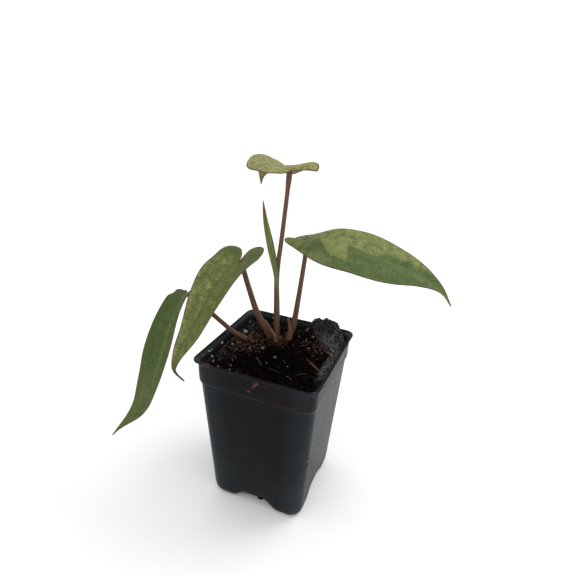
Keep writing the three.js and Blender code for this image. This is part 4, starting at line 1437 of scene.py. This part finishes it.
# Bits on the front wall, of which the last three are the nub in its foot arch, and on the right
# wall: pixel, size in millimetres, and how rusty
FRONT_BITS = (
    (255, 386, 1.4, 1), (257, 384, 1.2, 1), (253, 387.5, 1.1, 1), (249, 391.5, 1.1, 1),
    (247.8, 391, 0.7, 1), (258, 380, 0.9, 1), (256.5, 382, 0.9, 1), (262, 388, 0.5, 1),
    (271, 391, 0.4, 1), (280, 396, 0.4, 1), (279, 385.5, 0.8, 1), (283, 386.5, 0.7, 1),
    (258.8, 498, 0.9, 0.2), (260.4, 498.7, 1.2, 0.2), (262, 498.4, 0.9, 0.2),
)
RIGHT_BITS = (
    (336, 382, 0.8, 0.25), (329.5, 377, 0.5, 0.25), (325, 386.5, 0.45, 0.25),
    (333, 395, 0.3, 0.25), (309, 463, 0.7, 0.25), (311, 461, 0.6, 0.95), (310, 466, 0.6, 0.95),
    (307.5, 465, 0.5, 0.25), (308, 454, 0.4, 0.25), (318, 467, 0.7, 0.25),
    (316.5, 470, 0.8, 0.25), (315, 474, 0.6, 0.95), (313.5, 476, 0.6, 0.95),
    (311.5, 480, 0.5, 0.25), (316, 457, 0.4, 0.25), (326, 430, 0.3, 0.25), (331, 426, 0.3, 0.25),
    (320, 452, 0.3, 0.25),
)

# Two corners of each smudge of fine bits on the right wall, and how many there are
RIGHT_SMUDGES = (((314, 440), (326, 446), 25), ((305, 455), (312, 482), 40))

# The smear of fine bits on the collar's front: its ends, its slope and its depth in pixels
FRONT_SMEAR = {"from": 262, "to": 296, "top": 384, "slope": 0.35, "deep": 16}

# The tangle of fibres on the left corner of the rim
CORNER_TANGLE = (205.5, 365)


def spilled_piece(material):
    """Bits of the mix that cling to the rim and the walls."""
    rng = np.random.default_rng(59)
    parts = []

    def cling(place, size, tone, out):
        """Adds a bit that is half as thick along out as it is wide."""
        points, faces = chunk(rng, size, np.zeros(3), 1, 0.35)
        points = points - np.outer(points @ np.array(out, float), out) * 0.5
        parts.append((points + place, faces, tone))

    front, right, up = (0, -1, 0), (1, 0, 0), (0, 0, 1)
    for px, py, size, tone in FRONT_BITS:
        cling(on_wall(px, py, 1), size, tone, front)
    for _ in range(60):
        px = rng.uniform(FRONT_SMEAR["from"], FRONT_SMEAR["to"])
        py = FRONT_SMEAR["top"] + (px - FRONT_SMEAR["from"]) * FRONT_SMEAR["slope"]
        cling(on_wall(px, py + rng.uniform(0, FRONT_SMEAR["deep"]), 1), 0.22, 0.9, front)
    for px, py, size, tone in RIGHT_BITS:
        cling(on_wall(px, py, 0), size, tone, right)
    for low, high, count in RIGHT_SMUDGES:
        for _ in range(count):
            cling(on_wall(*rng.uniform(low, high), 0), rng.uniform(0.15, 0.35), 0.5, right)
    # On the lip and on the inside of the collar
    for _ in range(70):
        t = rng.uniform(-38, 38)
        edge = POT_LIP - rng.uniform(0.4, 1.6)
        place = [(t, -edge), (t, edge), (-edge, t), (edge, t)][rng.integers(4)]
        size = rng.uniform(0.15, 0.4)
        cling(np.array([*place, POT_HEIGHT - 0.15]), size, rng.random(), up)
    deep = POT_COLLAR - POT_WALL
    for _ in range(220):
        t = rng.uniform(-36, 36)
        place = [(t, deep), (-deep, t), (t, -deep), (deep, t)][rng.integers(4)]
        place = np.array([*place, rng.uniform(112, 117)])
        size = rng.uniform(0.15, 0.35)
        cling(place, size, rng.random(), up)
    corner = on_rim(*CORNER_TANGLE)
    for k in range(9):
        heading = unit(rng.normal(size=3) * (1, 1, 0.15))
        line = corner + np.linspace(-1, 1, 9)[:, None] * heading * 2.2
        line[:, 2] = POT_HEIGHT + 0.1 + 0.15 * k * np.sin(np.linspace(0.4, np.pi - 0.4, 9))
        line = line + (rng.normal(0, 1.2), rng.normal(0, 0.5), 0)
        parts.append((*strand(line, 0.25), 1.0))
    scatter_piece("spilled_crumbs", parts, material, looks=spilled_looks)


crumb_piece(earth)
white_grain_piece()
fibre_piece()
spilled_piece(earth)


# Crown and roots


ROOT_COUNT = 6


def crown_material():
    g = Graph("stem_bark")
    grain = g.noise(0.8, detail=4.0)
    rings = g.noise(1.0, g.stretched(0.3, 0.3, 1.6), detail=2.0)
    colour = g.mix(grain, (58, 36, 29), (104, 70, 54))
    colour = g.over(colour, (44, 28, 23), g.step(rings, 0.5, 0.7), 0.5)
    return g.finish(colour, g.scaled(grain, 0.6, 0.85), g.bump((grain, 0.3)))


def crown_piece():
    """The short stem in the mix, with its roots."""
    low = CROWN["top"] - CROWN["depth"]
    shape = np.array([0.35, 0.8, 1, 0.95, 0.8, 0.45]) * CROWN["radius"]

    def radius(along, around):
        r = np.interp(along, np.linspace(0, 1, len(shape)), shape)
        return r * (1 + 0.14 * (layered_noise(around * 7 + 9, along * 9 + 9, 71) - 0.5))

    path = [[CROWN["x"], CROWN["y"], low + k * CROWN["depth"] / 3] for k in range(4)]
    tubes = [tube(path, 48, 40, radius)]
    for k in range(ROOT_COUNT):
        angle = 2 * np.pi * (k + 0.3) / ROOT_COUNT
        reach = 15 + 3 * np.sin(k * 2.1)
        spots = [(0.05, low + 4), (0.5, 92), (0.8, 72 - 4 * (k % 3)), (1, 48 - 5 * (k % 2))]
        path = [[CROWN["x"] + s * reach * np.cos(angle), CROWN["y"] + s * reach * np.sin(angle), z]
                for s, z in spots]
        tubes.append(tube(path, 10, 40, lambda along, around: 1.5 - 0.9 * along))
    parts = [(points, faces, 0.5) for points, faces, _ in tubes]
    piece = scatter_piece("crown_fine", parts, crown_material(), smooth_faces=True)
    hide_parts("crown")


crown_piece()


# Camera, lights and floor

camera_data = bpy.data.cameras.new("camera")
camera_data.sensor_width = SENSOR
camera_data.lens = FOCAL_PIXELS / FRAME_PIXELS * SENSOR
camera = add_object("camera", camera_data)
axes = Matrix([CAMERA_RIGHT, CAMERA_UP, CAMERA_BACK]).transposed()
camera.matrix_world = Matrix.Translation(Vector(CAMERA_PLACE * MM)) @ axes.to_4x4()
bpy.context.scene.camera = camera


def floor_piece():
    """A wide pale floor a fifth of a millimetre below the pot."""
    mesh = bpy.data.meshes.new("floor")
    size, low = 30.0, -0.0002
    corners = [(-size, -size, low), (size, -size, low), (size, size, low), (-size, size, low)]
    mesh.from_pydata(corners, [], [(0, 1, 2, 3)])
    g = Graph("floor")
    mesh.materials.append(g.finish((252, 252, 251), 0.9, specular=0.0))
    add_object("floor", mesh)


floor_piece()


def add_light(name, place, target, size, power):
    data = bpy.data.lights.new(name, "AREA")
    data.shape, data.size, data.energy = "DISK", size, power
    light = add_object(name, data)
    light.location = place
    light.rotation_mode = "QUATERNION"
    light.rotation_quaternion = (Vector(place) - Vector(target)).to_track_quat("Z", "Y")


add_light("key", (0.5, 0.5, 0.9), (0, 0, 0.1), 0.6, 3)
world = bpy.data.worlds.new("world")
world.use_nodes = True
background = world.node_tree.nodes["Background"]
background.inputs["Color"].default_value = (1, 1, 1, 1)
background.inputs["Strength"].default_value = 1.07
bpy.context.scene.world = world
bpy.context.scene.view_settings.view_transform = "Standard"
